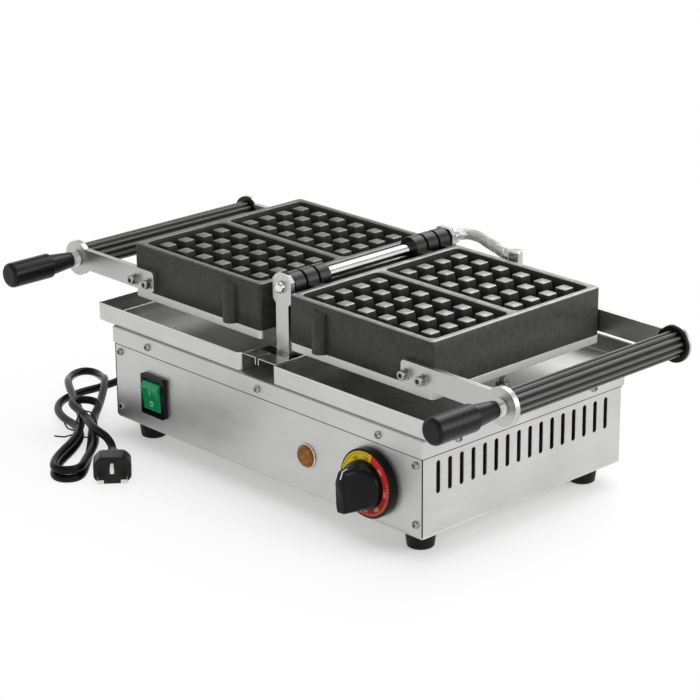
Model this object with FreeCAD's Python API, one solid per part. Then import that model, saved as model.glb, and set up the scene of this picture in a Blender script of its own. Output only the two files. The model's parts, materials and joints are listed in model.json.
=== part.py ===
"""Double rectangular waffle baker: two hinged cast plates over drip trays on a stainless control base.

Frame: millimetres, +Z up, origin on the floor under the middle of the body's outline, hinge plane at x = 0,
controls facing -Y. Depths are measured back from the front face of the base cover.
"""
import FreeCAD, Part
import math
import os

V = FreeCAD.Vector

# Base cabinet of folded stainless sheet
BASE_W = 430.0
BASE_D = 267.0
COVER_TOP = 114.0
COVER_SKIRT = 17.0
SHEET = 1.5
COVER_GAP = 0.5
FOLD_R = 2.5
RETURN_W = 16.0
FOOT_H = 20.0
FOOT_TOP_D = 30.0
FOOT_BASE_D = 25.0
FOOT_INSET_X = 28.0
FOOT_INSET_Y = 26.0
FOOT_STEM_D = 8.0

# Air slots in both side walls
SLOT_COUNT = 16
SLOT_W = 5.0
SLOT_H = 31.0
SLOT_PITCH = 14.7
SLOT_FIRST = 21.5
SLOT_MID_Z = 74.75

# Sheet metal screws
SCREW_HEAD_D = 7.4
SCREW_HEAD_H = 2.2
SCREW_D = 4.0
SCREW_LEN = 6.0
HOLE_CLEAR = 0.15
SKIRT_SCREW_DROP = 9.0
SKIRT_SCREW_EDGE = 55.0
SKIRT_SCREW_INSET_Y = 44.5
PANEL_SCREW_EDGE = 8.0
PANEL_SCREW_LOW = 11.0
PANEL_SCREW_HIGH = 67.0

# Front controls, all centred on one height
CONTROL_Z = 57.0
SWITCH_EDGE = 63.0
SWITCH_W = 34.0
SWITCH_H = 41.0
SWITCH_PROUD = 5.0
SWITCH_RIM = 4.0
SWITCH_CORNER_R = 2.0
SWITCH_DEPTH = 24.0
SWITCH_WELL = 15.0
ROCKER_CLEAR = 0.5
ROCKER_RISE = 4.5
ROCKER_PIN_D = 3.0
LAMP_TO_DIAL = 85.2
LAMP_D = 21.0
LAMP_PROUD = 4.0
LAMP_RING_D = 24.5
LAMP_RING_T = 1.6
LAMP_BODY_D = 14.0
LAMP_BODY_LEN = 24.0
DIAL_EDGE = 65.3
DIAL_D = 65.0
DIAL_T = 8.5
SCALE_OUT_D = 61.0
SCALE_IN_D = 44.5
SCALE_T = 0.8
KNOB_D = 46.0
KNOB_SKIRT_T = 9.0
KNOB_LEN = 31.0
KNOB_GRIP_W = 12.0
KNOB_GRIP_H = 38.0
KNOB_FOOT_W = 30.0
KNOB_FOOT_R = 13.0
KNOB_TILT = 5.0
KNOB_GAP = 0.4
THERMO_W = 44.0
THERMO_H = 36.0
THERMO_LEN = 38.0
THERMO_SHAFT_D = 6.0
BUSH_D = 11.0

# Cast baking plates, given for the right one and mirrored
PLATE_IN_X = 19.8
PLATE_W = 184.0
PLATE_FRONT = 23.0
PLATE_D = 218.0
RIM_Z = 196.0
CAST_H = 45.5
PLATE_CORNER_R = 4.0
RIM_W = 7.5
DIVIDER_W = 9.0
CAVITY_DEPTH = 15.0
CAVITY_R = 6.0
PEG_COLUMNS = 6
PEG_ROWS = 4
PEG_PITCH_X = 26.9
PEG_PITCH_Y = 22.6
PEG_TOP = 12.0
PEG_BASE = 16.6
PEG_DROP = 1.0
PEG_ROOT = 0.5
POCKET_DEPTH = 17.5
POCKET_WALL = 8.0
POST_BOSS = 16.0
FRONT_BOSS_X = 61.5
FRONT_BOSS_R = 8.0
FRONT_BOSS_DROP = 5.0
COVER_DROP = 8.0
PLATE_SCREW_D = 5.0
PLATE_SCREW_LEN = 12.0

# Heating element under each baking floor
ELEMENT_H = 6.0
ELEMENT_W = 8.0
ELEMENT_INSET = 36.0
ELEMENT_BEND_R = 15.0
ELEMENT_LEGS = 4

# Hinge
HINGE_RISE = 0.5
SHAFT_D = 12.0
SHAFT_BORE_D = 7.0
SHAFT_BORE_LEN = 60.0
RUN_CLEAR = 0.05
KNUCKLE_D = 24.0
KNUCKLE_W = 13.4
KNUCKLE_GAP = 2.4
KNUCKLE_ROOT = 26.0
POST_T = 5.0
POST_W = 17.0
POST_HEAD_W = 25.0
POST_HEAD_UP = 11.5
POST_HEAD_DOWN = 13.0
POST_CHAMFER = 5.0
POST_GAP = 2.0
POST_SETBACK = 32.0
POST_FOOT_LEN = 32.0
POST_SCREW_FIRST = 12.0
POST_SCREW_STEP = 12.0
SHAFT_TIP = 6.0

# Flexible conduit from the hollow shaft to the right-hand plate
CONDUIT_D = 10.0
CONDUIT_SIDES = 12
FERRULE_D = 16.0
FERRULE_LEN = 7.0
SHAFT_TAIL = 4.0
CONDUIT_REACH = 22.0
CONDUIT_BEND_R = 15.0
CONDUIT_EASE_R = 90.0
CONDUIT_RUN = 27.0
CONDUIT_SAG = 3.5
ELBOW_X = 88.0
ELBOW_D = 14.0
ELBOW_STAND = 10.0
ELBOW_SOCKET = 16.0
ELBOW_SOCKET_D = 13.0
ELBOW_TURN = 22.0
ELBOW_ENTRY_Z = 159.0
ELBOW_TOP = 6.5

# Handles
ARM_T = 5.5
ARM_H = 21.0
ARM_LAP = 33.8
ARM_CORNER_R = 4.0
EYE_REACH = 86.2
EYE_Z = 162.0
EYE_D = 35.0
ARM_LOW_Z = 153.0
CAP_SCREW_D = 6.0
CAP_SCREW_HEAD_D = 9.0
CAP_SCREW_HEAD_H = 7.0
CAP_SCREW_SOCKET = 4.6
CAP_SCREW_IN = 6.5
CAP_SCREW_STEP = 21.0
BAR_D = 25.4
BAR_FLUTES = 12
FLUTE_D = 5.0
FLUTE_DEPTH = 1.3
SPIGOT_D = 12.0
SPIGOT_CLEAR = 0.05
SPIGOT_IN_GRIP = 24.0
SPIGOT_OUT = 3.0
END_CAP_D = 35.0
END_CAP_T = 3.0
COLLAR_D = 16.0
COLLAR_LEN = 8.0
COLLAR_GROOVES = 3
COLLAR_GROOVE_W = 1.0
COLLAR_GROOVE_T = 0.7
GRIP_NECK_D = 15.5
GRIP_NECK_END_D = 21.0
GRIP_NECK_LEN = 26.5
GRIP_D = 24.6
GRIP_LEN = 49.0
GRIP_EDGE_R = 4.0

# Rest studs under the plates
STUD_INSET = 34.8
STUD_BACK = 149.0
STUD_D = 6.0
STUD_FOOT_D = 13.0
STUD_FOOT_T = 3.0
STUD_BOSS_D = 16.0
REST_GAP = 0.3

# Drip trays
TRAY_SHEET = 1.2
TRAY_IN_X = 22.0
TRAY_W = 213.0
TRAY_FRONT = 3.0
TRAY_D = 281.0
TRAY_H = 17.0
TRAY_CORNER_R = 5.0
TRAY_FLANGE = 16.5
TRAY_WIDER = 8.0
TRAY_STAND = 5.5
TRAY_LIP = 7.5
TRAY_NOTCH = 5.0

# Mains lead, lying on the floor to the left
CORD_D = 8.0
CORD_SIDES = 8
GLAND_BACK = 170.0
GLAND_Z = 34.0
GLAND_FLANGE_D = 21.0
GLAND_FLANGE_T = 4.0
GLAND_NECK_D = 14.0
GLAND_LEN = 36.0
GLAND_RIBS = 4
GLAND_THREAD_D = 12.0
GLAND_THREAD_LEN = 14.0
FLOOR_GAP = 0.5
LAYER_GAP = 0.7
TIE_D = 2.0
TIE_GAP = 0.5
TIE_TAIL = 22.0
PLUG_LEN = 48.0
PLUG_NECK_LEN = 18.0
PLUG_NECK_D = 13.0
PLUG_W = 36.0
PLUG_H = 27.0
PLUG_CORNER_R = 6.0
PIN_W = 6.2
PIN_T = 4.0
PIN_LEN = 17.0
PIN_SPREAD = 22.0
TERMINAL_W = 52.0
TERMINAL_D = 22.0
TERMINAL_H = 18.0
TERMINAL_INSET = 50.0

# Derived places
OUT_Y = GRIP_NECK_LEN + GRIP_LEN + COLLAR_LEN + ARM_T - PLATE_FRONT
FRONT = (OUT_Y - (TRAY_FRONT + TRAY_D)) / 2
BODY_W = BASE_W - 2 * (SHEET + COVER_GAP)
BODY_FRONT = FRONT + SHEET + COVER_GAP
BODY_BACK = FRONT + BASE_D - SHEET - COVER_GAP
FLOOR_Z = FOOT_H + SHEET
UNDER_COVER = COVER_TOP - SHEET
PLATE_Y0 = FRONT + PLATE_FRONT
PLATE_Y1 = PLATE_Y0 + PLATE_D
PLATE_MID = (PLATE_Y0 + PLATE_Y1) / 2
CAST_Z = RIM_Z - CAST_H
POCKET_TOP = CAST_Z + POCKET_DEPTH
COVER_Z = CAST_Z - COVER_DROP
HINGE_Z = RIM_Z + HINGE_RISE
ARM_FRONT = PLATE_Y0 - ARM_T
ARM_BACK = PLATE_Y1 + ARM_T
POST_FRONT = FRONT + POST_SETBACK
KNUCKLES_FRONT = POST_FRONT + POST_T + POST_GAP
KNUCKLE_STEP = KNUCKLE_W + KNUCKLE_GAP
KNUCKLES_BACK = PLATE_Y1 - 3 * KNUCKLE_W - 2 * KNUCKLE_GAP
POST_BACK = PLATE_Y1 + POST_GAP
SHAFT_END = POST_BACK + POST_T + SHAFT_TAIL
PLATE_OUT_X = PLATE_IN_X + PLATE_W
STUD_X = PLATE_OUT_X - STUD_INSET
STUD_Y = FRONT + STUD_BACK
ARM_START_X = PLATE_OUT_X - ARM_LAP
EYE_X = PLATE_OUT_X + EYE_REACH
SKIRT_SCREW_X = BASE_W / 2 - SKIRT_SCREW_EDGE
SWITCH_X = SWITCH_EDGE - BASE_W / 2
DIAL_X = BASE_W / 2 - DIAL_EDGE
LAMP_X = DIAL_X - LAMP_TO_DIAL
TRAY_Y0 = FRONT + TRAY_FRONT


def on(plane, a, b, h):
    """Point of a drawing plane: a and b in the plane, h along its normal."""
    return {"xy": V(a, b, h), "xz": V(a, h, b), "yz": V(h, a, b)}[plane]


def corner(a, b, c, radius):
    """Tangent points and middle of the arc that rounds corner b of a path a-b-c."""
    to_a = (a - b).normalize()
    to_c = (c - b).normalize()
    angle = to_a.getAngle(to_c)
    reach = radius / math.tan(angle / 2)
    middle = b + (to_a + to_c).normalize() * (radius / math.sin(angle / 2) - radius)
    return b + to_a * reach, middle, b + to_c * reach


def outline(plane, h, corners):
    """Closed face from corners (a, b, radius) in a drawing plane."""
    points = [on(plane, a, b, h) for a, b, _ in corners]
    count = len(points)
    arcs = []
    for i, (_, _, radius) in enumerate(corners):
        here = points[i]
        arc = corner(points[i - 1], here, points[(i + 1) % count], radius) if radius else (here, None, here)
        arcs.append(arc)
    edges = []
    for i, (start, middle, end) in enumerate(arcs):
        if middle:
            edges.append(Part.Arc(start, middle, end).toShape())
        following = arcs[(i + 1) % count][0]
        if end.distanceToPoint(following) > 1e-6:
            edges.append(Part.LineSegment(end, following).toShape())
    return Part.Face(Part.Wire(edges))


def prism(plane, h0, h1, corners):
    """Profile in a drawing plane, extruded from h0 to h1 along its normal."""
    return outline(plane, h0, corners).extrude(on(plane, 0, 0, h1 - h0))


def rectangle(a0, a1, b0, b1, radius=0.0):
    """Corners of a rectangle with one corner radius."""
    return [(a0, b0, radius), (a1, b0, radius), (a1, b1, radius), (a0, b1, radius)]


def box(x0, x1, y0, y1, z0, z1):
    """Box between two opposite corners."""
    return Part.makeBox(x1 - x0, y1 - y0, z1 - z0, V(x0, y0, z0))


def rod(start, end, diameter):
    """Cylinder from one point to another."""
    return Part.makeCylinder(diameter / 2, start.distanceToPoint(end), start, end - start)


def turned(start, axis, profile):
    """Solid of revolution: profile gives (distance along the axis, radius) from the start point."""
    drawn = Part.makePolygon([V(r, 0, d) for d, r in profile] + [V(profile[0][1], 0, profile[0][0])])
    solid = Part.Face(drawn).revolve(V(0, 0, 0), V(0, 0, 1), 360)
    solid.Placement = FreeCAD.Placement(start, FreeCAD.Rotation(V(0, 0, 1), axis))
    return solid


def frustum(middle, way, bottom, top, height):
    """Block with flat tapered sides, standing along a direction: (width, depth) at its foot and its head."""
    (a, b), (c, d) = bottom, top
    block = Part.makeWedge(-a / 2, 0, -b / 2, -d / 2, -c / 2, a / 2, height, b / 2, d / 2, c / 2)
    block.Placement = FreeCAD.Placement(middle, FreeCAD.Rotation(V(0, 1, 0), way))
    return block


def union(shapes):
    """All shapes fused to one clean solid."""
    return shapes[0].multiFuse(shapes[1:]).removeSplitter()


def mirrored(shape, side):
    """The right-hand shape, or its mirror image for the left."""
    return shape if side > 0 else shape.mirror(V(0, 0, 0), V(1, 0, 0))


def path_wire(points, radii):
    """Open path of straight runs joined by tangent arcs."""
    edges = []
    last = points[0]
    for i, radius in enumerate(radii, start=1):
        start, middle, end = corner(points[i - 1], points[i], points[i + 1], radius)
        if last.distanceToPoint(start) > 1e-6:
            edges.append(Part.LineSegment(last, start).toShape())
        edges.append(Part.Arc(start, middle, end).toShape())
        last = end
    edges.append(Part.LineSegment(last, points[-1]).toShape())
    return Part.Wire(edges)


def ring_face(centre, axis, diameter, sides=0):
    """Round face, or a many-sided one of the same width across its flats, square to an axis."""
    if not sides:
        return Part.Face(Part.Wire(Part.makeCircle(diameter / 2, centre, axis)))
    reach = diameter / 2 / math.cos(math.pi / sides)
    turn = FreeCAD.Rotation(V(0, 0, 1), axis)
    rim = []
    for i in range(sides + 1):
        angle = (2 * i + 1) * math.pi / sides
        rim.append(centre + turn.multVec(V(reach * math.cos(angle), reach * math.sin(angle), 0)))
    return Part.Face(Part.makePolygon(rim))


def swept(wire, profile):
    """One tube: the profile face carried along the wire."""
    shell = Part.BRepOffsetAPI.MakePipeShell(wire)
    shell.add(profile.OuterWire)
    shell.build()
    shell.makeSolid()
    return shell.shape()


def pan_screw(head, inward):
    """Pan head screw with its head's seat at a point, driven inward."""
    shank = turned(head, inward, [(-SCREW_HEAD_H, 0), (-SCREW_HEAD_H, SCREW_HEAD_D / 2 - 1.2),
                                  (-SCREW_HEAD_H / 3, SCREW_HEAD_D / 2), (0, SCREW_HEAD_D / 2),
                                  (0, SCREW_D / 2), (SCREW_LEN, SCREW_D / 2), (SCREW_LEN, 0)])
    return shank


def screw_hole(head, inward):
    """Clearance hole for a pan head screw."""
    reach = inward * SCREW_LEN
    return rod(head - reach, head + reach, SCREW_D + 2 * HOLE_CLEAR)


def skirt_screws():
    """Seats and directions of the screws round the cover's skirt."""
    z = COVER_TOP - SKIRT_SCREW_DROP
    back = FRONT + BASE_D
    seats = []
    for x in (-SKIRT_SCREW_X, 0, SKIRT_SCREW_X):
        seats += [(V(x, FRONT, z), V(0, 1, 0)), (V(x, back, z), V(0, -1, 0))]
    for y in (FRONT + SKIRT_SCREW_INSET_Y, back - SKIRT_SCREW_INSET_Y):
        seats += [(V(-BASE_W / 2, y, z), V(1, 0, 0)), (V(BASE_W / 2, y, z), V(-1, 0, 0))]
    return seats


def panel_screws():
    """Seats and directions of the front panel's corner screws."""
    x = BODY_W / 2 - PANEL_SCREW_EDGE
    heights = (FLOOR_Z + PANEL_SCREW_LOW, FLOOR_Z + PANEL_SCREW_HIGH)
    return [(V(sx * x, BODY_FRONT, z), V(0, 1, 0)) for sx in (-1, 1) for z in heights]


def foot_centres():
    """Floor points under the four feet."""
    xs = BASE_W / 2 - FOOT_INSET_X
    ys = (FRONT + FOOT_INSET_Y, FRONT + BASE_D - FOOT_INSET_Y)
    return [V(sx * xs, y, 0) for sx in (-1, 1) for y in ys]


def rubber_feet():
    """Tapered feet with a stem through the bottom plate."""
    profile = [(0, 0), (0, FOOT_BASE_D / 2 - 1), (1, FOOT_BASE_D / 2), (FOOT_H, FOOT_TOP_D / 2),
               (FOOT_H, FOOT_STEM_D / 2), (FLOOR_Z + 3, FOOT_STEM_D / 2), (FLOOR_Z + 3, 0)]
    return [turned(p, V(0, 0, 1), profile) for p in foot_centres()]


def bottom_plate():
    """Flat bottom with holes for the feet."""
    plate = prism("xy", FOOT_H, FLOOR_Z, rectangle(-BODY_W / 2, BODY_W / 2, BODY_FRONT, BODY_BACK, FOLD_R))
    holes = [rod(p, p + V(0, 0, COVER_TOP), FOOT_STEM_D + 2 * HOLE_CLEAR) for p in foot_centres()]
    return plate.cut(Part.makeCompound(holes))


def body_shell():
    """Sides and back folded from one sheet, with front returns, bottom flanges and air slots."""
    half = BODY_W / 2
    front = BODY_FRONT + SHEET
    outer = prism("xy", FLOOR_Z, UNDER_COVER, [(-half, front, 0), (half, front, 0),
                                               (half, BODY_BACK, FOLD_R), (-half, BODY_BACK, FOLD_R)])
    inner = box(-half + SHEET, half - SHEET, front + SHEET, BODY_BACK - SHEET, FLOOR_Z + SHEET, COVER_TOP)
    mouth = box(-half + RETURN_W, half - RETURN_W, front - 1, BODY_BACK - RETURN_W, FLOOR_Z - 1, COVER_TOP)
    shell = outer.cut(inner).cut(mouth)
    run, reach = SLOT_H / 2, SLOT_W / 2
    cuts = []
    for i in range(SLOT_COUNT):
        y = FRONT + SLOT_FIRST + i * SLOT_PITCH
        slot = rectangle(y - reach, y + reach, SLOT_MID_Z - run, SLOT_MID_Z + run, reach * 0.98)
        for side in (-1, 1):
            wall = sorted((side * (half - SHEET - 1), side * (half + 1)))
            cuts.append(prism("yz", wall[0], wall[1], slot))
    cuts += [screw_hole(p, d) for p, d in skirt_screws() + panel_screws()]
    gland = V(-half, FRONT + GLAND_BACK, GLAND_Z)
    cuts.append(rod(gland - V(5, 0, 0), gland + V(5, 0, 0), GLAND_THREAD_D + 2 * HOLE_CLEAR))
    return shell.cut(Part.makeCompound(cuts))


def front_panel():
    """Control panel with cut-outs for the switch, the lamp and the thermostat's bush."""
    half = BODY_W / 2
    panel = box(-half, half, BODY_FRONT, BODY_FRONT + SHEET, FLOOR_Z, UNDER_COVER)
    w = SWITCH_W / 2 - SWITCH_RIM + 2 + HOLE_CLEAR
    h = SWITCH_H / 2 - SWITCH_RIM + 2 + HOLE_CLEAR
    cuts = [box(SWITCH_X - w, SWITCH_X + w, BODY_FRONT - 1, BODY_FRONT + 5, CONTROL_Z - h, CONTROL_Z + h)]
    for x, d in ((LAMP_X, LAMP_BODY_D), (DIAL_X, BUSH_D)):
        cuts.append(rod(V(x, BODY_FRONT - 1, CONTROL_Z), V(x, BODY_FRONT + 5, CONTROL_Z), d + 2 * HOLE_CLEAR))
    cuts += [screw_hole(p, d) for p, d in panel_screws()]
    cuts += [screw_hole(p, d) for p, d in skirt_screws() if d.y > 0]
    return panel.cut(Part.makeCompound(cuts))


def top_cover():
    """Inverted pan over the body, its top edge folded round."""
    half = BASE_W / 2
    back = FRONT + BASE_D
    pan = prism("xy", COVER_TOP - COVER_SKIRT, COVER_TOP, rectangle(-half, half, FRONT, back, FOLD_R))
    rim = [e for e in pan.Edges if e.BoundBox.ZMin > COVER_TOP - 0.1]
    pan = pan.makeFillet(FOLD_R * 0.8, rim)
    hollow = rectangle(-half + SHEET, half - SHEET, FRONT + SHEET, back - SHEET, FOLD_R - SHEET)
    pan = pan.cut(prism("xy", 0, UNDER_COVER, hollow))
    cuts = [screw_hole(p, d) for p, d in skirt_screws()]
    cuts += [screw_hole(p, d) for p, d in post_screws()]
    return pan.cut(Part.makeCompound(cuts))


def post_screws():
    """Seats and directions of the screws in the hinge posts' feet."""
    z = COVER_TOP + POST_T
    steps = (POST_SCREW_FIRST, POST_SCREW_FIRST + POST_SCREW_STEP)
    front = [V(0, POST_FRONT + s, z) for s in steps]
    back = [V(0, POST_BACK + POST_T - s, z) for s in steps]
    return [(p, V(0, 0, -1)) for p in front + back]


def hinge_post(front, foot_way):
    """Flat bar bent at its foot, with a chamfered eye at the top for the hinge shaft."""
    w, c, head = POST_W / 2, POST_CHAMFER, POST_HEAD_W / 2
    top, step = HINGE_Z + POST_HEAD_UP, HINGE_Z - POST_HEAD_DOWN
    right = [(w, COVER_TOP, 0), (w, step - (head - w), 0), (head, step, 0),
             (head, top - c, 0), (head - c, top, 0)]
    left = [(-a, b, r) for a, b, r in reversed(right)]
    upright = prism("xz", front, front + POST_T, right + left)
    if foot_way > 0:
        foot = box(-w, w, front, front + POST_FOOT_LEN, COVER_TOP, COVER_TOP + POST_T)
    else:
        foot = box(-w, w, front + POST_T - POST_FOOT_LEN, front + POST_T, COVER_TOP, COVER_TOP + POST_T)
    eye = rod(V(0, front - 1, HINGE_Z), V(0, front + POST_T + 1, HINGE_Z), SHAFT_D + 2 * RUN_CLEAR)
    holes = [screw_hole(p, d) for p, d in post_screws()]
    return union([upright, foot]).cut(Part.makeCompound([eye] + holes))


def control_axis(x, depth):
    """Point on a control's axis, at a depth behind the panel's front face."""
    return V(x, BODY_FRONT + depth, CONTROL_Z)


def switch_housing():
    """Bezel and body of the mains switch, open in front for its rocker."""
    w, h = SWITCH_W / 2, SWITCH_H / 2
    face = BODY_FRONT - SWITCH_PROUD
    rim = rectangle(SWITCH_X - w, SWITCH_X + w, CONTROL_Z - h, CONTROL_Z + h, SWITCH_CORNER_R)
    bezel = prism("xz", face, BODY_FRONT, rim)
    inner_w, inner_h = w - SWITCH_RIM, h - SWITCH_RIM
    body_w, body_h = inner_w + 2, inner_h + 2
    body = box(SWITCH_X - body_w, SWITCH_X + body_w, BODY_FRONT, BODY_FRONT + SWITCH_DEPTH,
               CONTROL_Z - body_h, CONTROL_Z + body_h)
    well = box(SWITCH_X - inner_w, SWITCH_X + inner_w, face - 1, BODY_FRONT + SWITCH_WELL,
               CONTROL_Z - inner_h, CONTROL_Z + inner_h)
    reach = V(inner_w + 1.2, 0, 0)
    pivot = control_axis(SWITCH_X, 0)
    pin = rod(pivot - reach, pivot + reach, ROCKER_PIN_D + 2 * RUN_CLEAR)
    return union([bezel, body]).cut(Part.makeCompound([well, pin]))


def switch_rocker():
    """Rocker with its lower half pressed in: a thumb ledge at the top and stub pins at the sides."""
    half = SWITCH_H / 2 - SWITCH_RIM - ROCKER_CLEAR
    w = SWITCH_W / 2 - SWITCH_RIM - ROCKER_CLEAR
    face = BODY_FRONT - SWITCH_PROUD
    ledge = half * 0.72
    back, end = BODY_FRONT + 5, half * 0.9
    profile = [(back, end, 0), (face - 0.5, end, 0), (face - ROCKER_RISE, ledge, 1),
               (face - ROCKER_RISE * 0.35, 0, 0), (face - 0.3, -end, 0), (back, -end, 0)]
    paddle = prism("yz", SWITCH_X - w, SWITCH_X + w, [(y, CONTROL_Z + z, r) for y, z, r in profile])
    reach = V(w + ROCKER_CLEAR + 1.0, 0, 0)
    pivot = control_axis(SWITCH_X, 0)
    return union([paddle, rod(pivot - reach, pivot + reach, ROCKER_PIN_D)])


def lamp_bezel():
    """Bright ring and sleeve of the pilot lamp."""
    bore = LAMP_BODY_D / 2 - 2
    return turned(control_axis(LAMP_X, -LAMP_RING_T), V(0, 1, 0),
                  [(0, LAMP_D / 2), (0, LAMP_RING_D / 2 - 0.8), (0.8, LAMP_RING_D / 2),
                   (LAMP_RING_T, LAMP_RING_D / 2), (LAMP_RING_T, LAMP_BODY_D / 2),
                   (LAMP_BODY_LEN, LAMP_BODY_D / 2), (LAMP_BODY_LEN, bore), (LAMP_RING_T - 0.6, bore),
                   (LAMP_RING_T - 0.6, LAMP_D / 2)])


def lamp_lens():
    """Flat-topped lens pressed into the lamp's ring."""
    r = LAMP_D / 2 - RUN_CLEAR
    stem = LAMP_BODY_D / 2 - 2 - RUN_CLEAR
    seat = LAMP_PROUD - 0.6
    return turned(control_axis(LAMP_X, -LAMP_PROUD), V(0, 1, 0),
                  [(0, 0), (0, r - 2.5), (0.5, r - 1), (1.6, r), (seat, r), (seat, stem), (seat + 8, stem),
                   (seat + 8, 0)])


def dial_plate():
    """Thick round plate on the panel, recessed for the coloured scale."""
    r = DIAL_D / 2
    bore = BUSH_D / 2 + HOLE_CLEAR
    return turned(control_axis(DIAL_X, -DIAL_T), V(0, 1, 0),
                  [(0, bore), (0, SCALE_IN_D / 2), (SCALE_T, SCALE_IN_D / 2), (SCALE_T, SCALE_OUT_D / 2),
                   (0, SCALE_OUT_D / 2), (0, r - 1), (1, r), (DIAL_T, r), (DIAL_T, bore)])


def dial_scale():
    """Flat coloured ring let into the dial plate."""
    a, b = SCALE_IN_D / 2 + RUN_CLEAR, SCALE_OUT_D / 2 - RUN_CLEAR
    return turned(control_axis(DIAL_X, -DIAL_T), V(0, 1, 0), [(0, a), (0, b), (SCALE_T, b), (SCALE_T, a)])


def knob_section(along, width, height, radius):
    """Rounded outline of the knob's grip at a distance from its seat."""
    h, w = height / 2, width / 2
    y = control_axis(DIAL_X, -DIAL_T - KNOB_GAP).y - along
    return outline("xz", y, rectangle(DIAL_X - w, DIAL_X + w, CONTROL_Z - h, CONTROL_Z + h, radius))


def thermostat_knob():
    """Round skirt whose flanks sweep up into a tall grip, pointing a little left of the top."""
    seat = control_axis(DIAL_X, -DIAL_T - KNOB_GAP)
    r, t = KNOB_D / 2, KNOB_SKIRT_T
    skirt = turned(seat, V(0, -1, 0), [(0, 0), (0, r), (t * 0.5, r), (t * 0.8, r - 1), (t, r - 3), (t, 0)])
    foot = KNOB_D - 5
    waist, head = (KNOB_FOOT_W + KNOB_GRIP_W) * 0.4, KNOB_GRIP_H
    grip = Part.makeLoft([knob_section(t * 0.6, KNOB_FOOT_W, foot, KNOB_FOOT_R),
                          knob_section(t + 4, waist, (foot + head) / 2, waist * 0.4),
                          knob_section(KNOB_LEN, KNOB_GRIP_W, head, KNOB_GRIP_W * 0.35)], True)
    knob = union([skirt, grip])
    hole = rod(seat, seat - V(0, KNOB_LEN - 12, 0), THERMO_SHAFT_D + 2 * RUN_CLEAR)
    knob = knob.cut(hole)
    knob.rotate(seat, V(0, 1, 0), -KNOB_TILT)
    return knob


def thermostat_shaft():
    """Spindle from the thermostat into the knob."""
    seat = control_axis(DIAL_X, -DIAL_T - KNOB_GAP)
    return rod(seat - V(0, KNOB_LEN - 13, 0), control_axis(DIAL_X, 12), THERMO_SHAFT_D)


def thermostat_body():
    """Thermostat housing behind the panel with a threaded bush through it."""
    w, h = THERMO_W / 2, THERMO_H / 2
    back = BODY_FRONT + SHEET
    case = box(DIAL_X - w, DIAL_X + w, back, back + THERMO_LEN, CONTROL_Z - h, CONTROL_Z + h)
    bush = rod(control_axis(DIAL_X, -DIAL_T + 1), control_axis(DIAL_X, SHEET + 1), BUSH_D)
    bore = rod(control_axis(DIAL_X, -DIAL_T - 1), control_axis(DIAL_X, 14), THERMO_SHAFT_D + 2 * RUN_CLEAR)
    return union([case, bush]).cut(bore)


def terminal_block():
    """Mains terminal block on the bottom plate."""
    x = -BODY_W / 2 + TERMINAL_INSET
    y = FRONT + GLAND_BACK
    w, top = TERMINAL_W / 2, FLOOR_Z + TERMINAL_H
    block = box(x, x + TERMINAL_D, y - w, y + w, FLOOR_Z, top)
    step = box(x - 1, x + TERMINAL_D / 3, y - w - 1, y + w + 1, FLOOR_Z + TERMINAL_H * 0.6, top + 1)
    return block.cut(step)


def peg_grid(middle):
    """Tapered pegs of one waffle, round the middle of its cavity."""
    floor = RIM_Z - CAVITY_DEPTH - PEG_ROOT
    pegs = []
    for i in range(PEG_COLUMNS):
        for j in range(PEG_ROWS):
            x = middle.x + (i - (PEG_COLUMNS - 1) / 2) * PEG_PITCH_X
            y = middle.y + (j - (PEG_ROWS - 1) / 2) * PEG_PITCH_Y
            pegs.append(frustum(V(x, y, floor), V(0, 0, 1), (PEG_BASE, PEG_BASE), (PEG_TOP, PEG_TOP),
                                CAVITY_DEPTH + PEG_ROOT - PEG_DROP))
    return pegs


def knuckle_starts(own):
    """Front faces of the three knuckles that one plate owns, front group first."""
    front = [KNUCKLES_FRONT + i * KNUCKLE_STEP for i in range(3)]
    back = [KNUCKLES_BACK + i * KNUCKLE_STEP for i in range(3)]
    return [front[0], front[2], back[1]] if own == "odd" else [front[1], back[0], back[2]]


def corner_bosses():
    """Centres of the screw bosses in the pocket's corners."""
    inset = POCKET_WALL + POST_BOSS / 2 - 2
    xs = (PLATE_IN_X + inset, PLATE_OUT_X - inset)
    ys = (PLATE_Y0 + inset, PLATE_Y1 - inset)
    return [V(x, y, COVER_Z) for x in xs for y in ys]


def arm_screw_seats(front):
    """Seats of the cap screws that hold one arm, on its outer face."""
    y = ARM_FRONT if front else ARM_BACK
    z = ARM_LOW_Z + ARM_H / 2 - 2
    first = ARM_START_X + CAP_SCREW_IN
    return [V(x, y, z) for x in (first, first + CAP_SCREW_STEP)]


def hinge_knuckles(side, own):
    """Three knuckles of one plate: a bored eye on a tapered root that stands on the casting's inner wall."""
    root = [(0, RIM_Z, 0), (0, HINGE_Z - KNUCKLE_D / 2, 0),
            (PLATE_IN_X, RIM_Z - KNUCKLE_ROOT, 0), (PLATE_IN_X, RIM_Z, 0)]
    knuckles = []
    for y in knuckle_starts(own):
        near, far = V(0, y, HINGE_Z), V(0, y + KNUCKLE_W, HINGE_Z)
        solid = union([rod(near, far, KNUCKLE_D), prism("xz", y, y + KNUCKLE_W, root)])
        bore = rod(near - V(0, 1, 0), far + V(0, 1, 0), SHAFT_D + 2 * RUN_CLEAR)
        knuckles.append(mirrored(solid.cut(bore), side))
    return knuckles


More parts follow.
